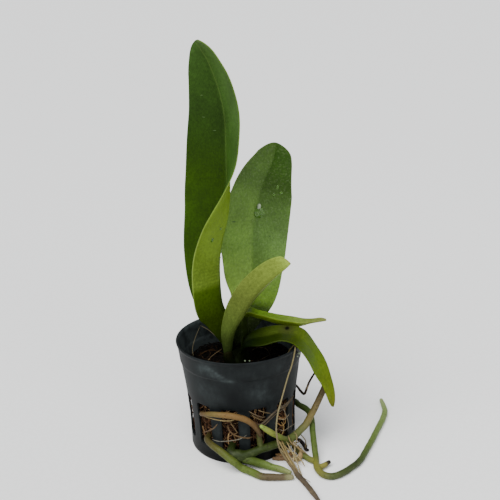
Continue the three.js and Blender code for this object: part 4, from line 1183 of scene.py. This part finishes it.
# Thin dry root hairs and straws: radius, tone and the points they pass through. The first six
# lie inside the pot, the others on its front and at its foot.
strandForms = [
    (0.16, "#5e563e", [(-24.3, 24.8, 63.6), (-19, 15, 64.8), (-14, 6, 64.2), (-9.5, -2, 63.5)]),
    (0.16, "#5e563e", [(-24.3, 24.8, 63.6), (-27.5, 18, 58), (-29, 12, 54), (-28.4, 8, 51)]),
    (0.17, "#5e4e34", [(-20.5, -2, 50.5), (-17, 2, 53.4), (-11, 6, 56)]),
    (0.16, "#3c3220", [(6, 13, 50.5), (10.6, 12, 53.4), (16, 8, 53.4), (18.5, 1, 50)]),
    (0.16, "#33291a", [(8, -4, 50.5), (14, -2, 53), (20, 2, 53.4), (26, 3, 50)]),
    (0.16, "#33291a", [(-26, -8, 50), (-22, -6, 52.6), (-17, -9, 52), (-14, -14, 50)]),
    (0.24, "#5e5c52", [(-17.8, -28.3, 15.4), (-13.5, -32.1, 16.2), (-8, -33.7, 17.2), (-1.5, -34.1, 18.5),
                       (3, -30.8, 19.4)]),
    (0.35, "#7c6c48", [(-22.4, -25.4, 29.2), (-18.5, -28.8, 29.6), (-12, -32.9, 30), (-6, -34.4, 30.6),
                       (-2, -32, 31)]),
    (0.4, "#4c3c2a", [(-22.5, -24.6, 18), (-20, -27.8, 20.5), (-16.5, -30.4, 23.6), (-14, -29.5, 26)]),
    (0.45, "#4e3c26", [(-8.5, -30.2, 26), (-7, -32.6, 22.5), (-2.5, -33.2, 19.5), (3, -33, 18.2),
                       (5.5, -31, 17.8)]),
    (0.3, "#54442e", [(-9, -30.5, 31), (-6, -33, 27.5), (-3.5, -33.2, 23), (-2.8, -31.5, 20.6)]),
    (0.55, "#3c3428", [(7, -31.5, 25.4), (11.5, -34.3, 28), (18, -32.6, 33.4), (26.5, -25.6, 36),
                       (30.2, -19.4, 37)]),
    (0.4, "#453b2c", [(6.5, -31.8, 24.4), (11.8, -34.2, 26.6), (18.2, -32, 31.6), (25, -26.2, 33.6),
                      (29, -18, 34.5)]),
    (0.3, "#4a3e2e", [(3.5, -32, 35), (7, -33.4, 33.4), (11, -32.8, 31.2), (13.5, -30.5, 30)]),
    (0.28, "#54462e", [(5, -32, 33), (8, -33.2, 31), (11.5, -32.6, 29), (13.5, -30, 28)]),
    (0.28, "#5a4c34", [(9, -31.6, 35), (13, -32, 33.6), (16.5, -30.6, 32)]),
    (0.25, "#4a3626", [(4.6, -31.6, 29), (8, -32.9, 27.4), (11, -32.4, 25.6), (13, -30.5, 24)]),
    (0.2, "#6c6454", [(22.6, -23, 33), (24.8, -23.4, 28), (26.4, -22, 21), (26.2, -21.6, 15)]),
    (0.2, "#6c6454", [(21, -25.4, 18.5), (23.6, -24.8, 17.4), (27.6, -20, 17), (30.5, -16, 16.5)]),
    (0.2, "#7c7058", [(20.6, -25, 26), (24, -23.8, 24), (27.4, -19.8, 25.4)]),
    (0.24, "#967848", [(19.6, -23.4, 30), (22.4, -23.2, 31.2), (24.7, -20.7, 29.8), (24.7, -17.9, 28.6)]),
    (0.22, "#8c6e42", [(19.6, -23.4, 22), (22.4, -23.2, 19.8), (24.7, -20.7, 20.2), (24.7, -17.9, 22)]),
    (0.22, "#a08450", [(21, -22, 11.5), (23, -22.6, 14.4), (23.8, -21.7, 18.2), (22.4, -21, 21)]),
    (0.26, "#82623e", [(19.6, -23.4, 27.4), (22.4, -23.2, 24.8), (24.7, -20.7, 23.4), (24.7, -17.9, 24.6)]),
    (0.45, "#7e6e48", [(19.5, -29.6, 16), (22, -34, 12.6), (24.6, -36.2, 7.6), (27.4, -40.8, 4.4),
                       (29.6, -46, 2.9)]),
    (0.5, "#76663e", [(21.6, -29, 15), (23.6, -32.4, 11), (25.6, -35, 6.6), (28.4, -40, 3.4),
                      (30.8, -46, 2.2)]),
    (0.32, "#8e8674", [(23, -30, 12), (25.6, -33.4, 7), (28.6, -37.6, 3.6), (30.6, -43, 2.6),
                       (32.4, -48.6, 1.4)]),
    (0.35, "#8e8058", [(24.8, -29.5, 13), (27, -31.4, 9), (30, -35, 3.8), (31.4, -41, 1.6),
                       (32.6, -47, 1)]),
    (0.2, "#8e8674", [(31.4, -48.6, 2.6), (33.8, -50.4, 1.8), (36.8, -52, 0.5)]),
    (0.3, "#6e6040", [(27, -25, 12.5), (30.6, -27.2, 9.4), (33.4, -27.4, 6.4), (37, -31, 4.4)]),
    (0.3, "#55482c", [(30.5, -19, 14), (34, -19, 10.6), (36.4, -20.4, 7.4), (36.2, -23.6, 4.6)]),
    (0.35, "#4a3c26", [(23.6, -28, 14), (27.4, -27, 10.5), (31.6, -23.6, 8.6), (33.6, -19.4, 8)]),
    (0.25, "#7c6e4c", [(29.6, -21.4, 15), (31.2, -24.6, 12.4), (29.4, -29, 8.2), (30, -33.6, 4.4),
                       (32, -37.4, 2.2)]),
    (0.4, "#5e5630", [(24.4, -29.4, 12.6), (28.6, -27.6, 9), (32.4, -25.6, 6), (34.6, -26.6, 4.2)]),
    (0.42, "#8a7a52", [(21.5, -31, 13.6), (25.4, -31.6, 9.4), (29.6, -31.8, 5.6), (33, -34.4, 3),
                       (34.6, -38.6, 2)]),
    (0.3, "#97875e", [(20.4, -31.4, 11), (23.6, -33.4, 7.4), (27.6, -34.2, 4.6), (31.6, -33, 3.4)]),
    (0.38, "#7a6844", [(26, -26.4, 15), (27.4, -28.6, 11.8), (31, -28.2, 8.2), (35, -29.6, 5.2)]),
    (0.26, "#a09272", [(28.4, -24.6, 11.6), (29.6, -29.4, 7.8), (28.4, -34.6, 4), (29.4, -39, 1.6)]),
]
strandSize = dict(steps=28, sides=8, endShare=0.25, taper=6, uneven=0.18, waves=40, apart=3.1, seed=61)


def strandMesh(forms, size):
    # Each strand is a spline with a tube round it that tapers at its ends and is a little uneven.
    # All have the same number of rings, so they are worked out together.
    t = np.linspace(0, 1, size["steps"])
    paths = np.array([splineAt(points, t) for _, _, points in forms])
    taper = np.minimum(1, size["endShare"] + size["taper"] * np.minimum(t, 1 - t))
    radii = np.array([radius for radius, _, _ in forms])[:, None] * taper
    number = np.arange(len(forms))[:, None]
    radii = radii * (1 + size["uneven"] * ripple(size["seed"], size["waves"] * t, number * size["apart"]))
    points, faces = tubes(paths, radii, size["sides"])
    tones = np.array([linearColour(tone)[:3] for _, tone, _ in forms])
    return points, faces, np.repeat(tones, size["steps"] * size["sides"], axis=0)


points, faces, tones = strandMesh(strandForms, strandSize)
strands = addMesh("dry_strands", points, faces, rootSkins["root_dry"], dict(rootTone=tones))
finishPiece(strands, "root_dry")
print("strands ready")

# Each scrap is a thin ribbon: its middle line, half width, thickness, how far its section
# curls in degrees, and its tone.
scrapForms = [
    dict(points=[(24.5, -26.6, 2.2), (28.6, -30.4, 1.6), (31.8, -31.2, 2), (33.6, -28, 4),
                 (33.4, -24.6, 5.4)],
         half=2.3, thick=0.35, curl=170, tone="#87724e"),
    dict(points=[(16.5, -28.3, 1.2), (21, -29.2, 1.5), (26, -29.6, 1.6), (30, -30.6, 1.1)],
         half=2.2, thick=0.5, curl=150, tone="#68523a"),
    dict(points=[(18.5, -27.2, 3.2), (22.5, -27.6, 3.8), (27, -26.8, 3.4), (29.5, -24.4, 2.6)],
         half=1.6, thick=0.4, curl=120, tone="#7c603e"),
    dict(points=[(30.6, -16.4, 6.6), (33.4, -17.8, 6), (35.4, -19.4, 4), (36.4, -20.2, 1.6),
                 (38.2, -20.4, 1)],
         half=1.9, thick=0.6, curl=200, tone="#16110e"),
]
scrapSize = dict(rows=40, columns=18, endShare=0.25, swellFrom=0.03, swellPower=0.6, fray=0.25,
                 frayWaves=14, ruffle=0.25, ruffleWaves=(9, 3), edgeThin=0.95, seed=70)


def scrapMesh(form, size, seed):
    # A ribbon whose section is an arc. Its width swells in the middle as a power of a sine, and
    # smooth noise frays its edges and ruffles it.
    t = np.linspace(0, 1, size["rows"])
    path = splineAt(form["points"], t)[None]
    _, across, up = (frameAxis[0] for frameAxis in carriedFrames(path))
    swell = np.sin(np.pi * np.clip(t, size["swellFrom"], 1 - size["swellFrom"])) ** size["swellPower"]
    swell = size["endShare"] + (1 - size["endShare"]) * swell
    width = form["half"] * swell * (1 + size["fray"] * ripple(seed, size["frayWaves"] * t))
    share = np.linspace(-1, 1, size["columns"])
    arc = math.radians(form["curl"]) / 2
    out = width[:, None] * np.sin(share * arc) / arc
    lift = width[:, None] * (np.cos(share * arc) - np.cos(arc / 2)) / arc
    wavesAlong, wavesAcross = size["ruffleWaves"]
    ruffle = size["ruffle"] * ripple(seed + 1, wavesAlong * t[:, None], wavesAcross * share)
    middle = path[0][:, None] + across[:, None] * out[..., None] + up[:, None] * (lift + ruffle)[..., None]
    lean = up[:, None] * np.cos(share * arc)[:, None] + across[:, None] * np.sin(share * arc)[:, None]
    thickness = form["thick"] / 2 * np.sqrt(1 - size["edgeThin"] * share ** 2)[:, None]
    rings = np.concatenate([middle + lean * thickness, (middle - lean * thickness)[:, ::-1]], 1)
    rings[..., 2] = np.maximum(rings[..., 2], overFloor)
    rows, columns = rings.shape[:2]
    loop = np.arange(columns)
    caps = [loop[::-1].tolist(), ((rows - 1) * columns + loop).tolist()]
    return rings.reshape(-1, 3), gridFaces(rows, columns).tolist() + caps


for number, form in enumerate(scrapForms):
    points, faces = scrapMesh(form, scrapSize, scrapSize["seed"] + number)
    tone = np.tile(linearColour(form["tone"])[:3], (len(points), 1))
    scrap = addMesh(f"husk_scrap_{number + 1}", points, faces, rootSkins["root_dry"], dict(rootTone=tone))
    finishPiece(scrap, "root_dry")
print("scraps ready")

# Drops on the leaves: the leaf, the face, the place along it and across it, and the drop's
# half length along the leaf, half width and height. One is white, a painted highlight, and lime
# has left pale marks where others dried.
dropForms = dict(
    clear=[
        ("leaf_back", "upper", 0.62, 0.12, 3.3, 3.1, 0.7),
        ("leaf_back", "upper", 0.70, 0.45, 0.9, 0.8, 0.3),
        ("leaf_back", "upper", 0.745, 0.5, 1.2, 0.8, 0.3),
        ("leaf_back", "upper", 0.72, 0.62, 0.7, 1.0, 0.3),
        ("leaf_tall", "under", 0.402, -0.23, 1.1, 0.7, 0.4),
        ("leaf_tall", "under", 0.385, 0.05, 1.6, 0.9, 0.5),
        ("leaf_tall", "under", 0.42, 0.5, 1.4, 1.2, 0.4),
        ("leaf_tall", "under", 0.45, 0.3, 0.8, 0.8, 0.3)],
    whiteGlint=[("leaf_back", "upper", 0.645, 0.08, 1.7, 1.2, 1.3)],
    dried=[
        ("leaf_back", "upper", 0.582, -0.64, 0.28, 1.6, 0.12),
        ("leaf_back", "upper", 0.79, -0.6, 0.3, 1.2, 0.12),
        ("leaf_back", "upper", 0.53, 0.5, 0.3, 0.5, 0.12),
        ("leaf_back", "upper", 0.79, 0.84, 0.25, 0.8, 0.12),
        ("leaf_tall", "under", 0.365, 0.1, 0.3, 1.5, 0.12),
        ("leaf_tall", "upper", 0.696, -0.3, 0.2, 1.0, 0.1),
        ("leaf_tall", "upper", 0.732, -0.55, 0.2, 0.9, 0.1),
        ("leaf_tall", "upper", 0.686, 0.1, 0.2, 0.9, 0.1),
        ("leaf_tall", "upper", 0.80, -0.6, 0.2, 0.8, 0.1)])
dropSize = dict(rings=7, sides=20, sink=0.06, haze=1.1)
# Beads under the pot's rim and on the coir at the crown's foot, white as painted glints of light:
# azimuth, radius, height, and the bead's own radius.
beadForms = [(65.5, 37.3, 61.7, 0.85), (62, 37.2, 60.6, 0.4), (25, 6.4, 53.4, 0.55), (42, 8, 53.3, 0.45),
             (5, 5.5, 53.3, 0.35)]


def dropMesh(leaf, sheet, t, share, half, width, height, size):
    # a cap whose height falls as the root of 1 - r squared, over the leaf's own face, and a
    # flat underside sunk a little into it
    surface = leafSurfaces[leaf]
    row = int(np.argmin(np.abs(surface["t"] - t)))
    column = int(np.argmin(np.abs(surface["share"] - share)))
    grid = surface[sheet]
    spot = grid[row, column]
    along = unit(grid[min(row + 1, len(grid) - 1), column] - grid[row - 1, column])
    aside = unit(grid[row, column + 1] - grid[row, column - 1])
    out = unit(np.cross(along, aside))
    out = out * np.sign(np.dot(out, surface["lean"][row, column])) * (1 if sheet == "upper" else -1)
    aside = np.cross(out, along)
    r = np.sin(np.linspace(0, np.pi / 2, size["rings"] + 1))[1:, None]
    turn = roundTurn(size["sides"])
    flat = along * (half * r * np.cos(turn))[..., None] + aside * (width * r * np.sin(turn))[..., None]
    cap = spot + flat + out * (height * np.sqrt(1 - 0.999 * r ** 2) + 0 * turn)[..., None]
    base = spot + flat[-1:] - out * size["sink"]
    rings = np.concatenate([base, cap[::-1]])
    return closedLathe(rings, spot - out * size["sink"], spot + out * height)


def beadMesh(azimuth, radius, height, bead, size):
    # a ball: rings of radius sin v at the height minus cos v, about its middle
    v = np.linspace(0, np.pi, size["rings"] + 2)[1:-1, None]
    turn = roundTurn(size["sides"])
    middle = place(azimuth, radius, height)
    ball = np.broadcast_arrays(np.sin(v) * np.cos(turn), np.sin(v) * np.sin(turn), -np.cos(v))
    rings = middle + bead * np.stack(ball, -1)
    return closedLathe(rings, middle - (0, 0, bead), middle + (0, 0, bead))


def water(name, clearness, pale, dark, roughness):
    # water bends the light by 1.33 and takes on the green under it; where its tone is whitish, the
    # white is a painted highlight
    material, shader, coordinates = addMaterial(name, IOR=1.33, Transmission_Weight=clearness,
                                                Roughness=roughness)
    haze = addNode(material, "TexNoise", (coordinates, perMetre(dropSize["haze"])))
    tone = addNode(material, "ValToRGB", (haze,), stops=[(0.3, dark), (0.7, pale)])
    return linked(material, shader, Base_Color=tone)


waters = dict(clear=water("clearWater", 0.6, "#6f9a42", "#557f2a", 0.08),
              whiteGlint=water("glintWater", 0.35, "#b4c2a8", "#8fa07c", 0.25),
              dried=water("driedLime", 0.0, "#40592a", "#2c4517", 0.6))
drops = {kind: [dropMesh(*form, dropSize) for form in forms] for kind, forms in dropForms.items()}
drops["whiteGlint"] += [beadMesh(*form, dropSize) for form in beadForms]
for kind, meshes in drops.items():
    finishPiece(addMesh(kind + "_water_drops", *joined(meshes), waters[kind]), "leaf_deep_green")
print("drops ready")
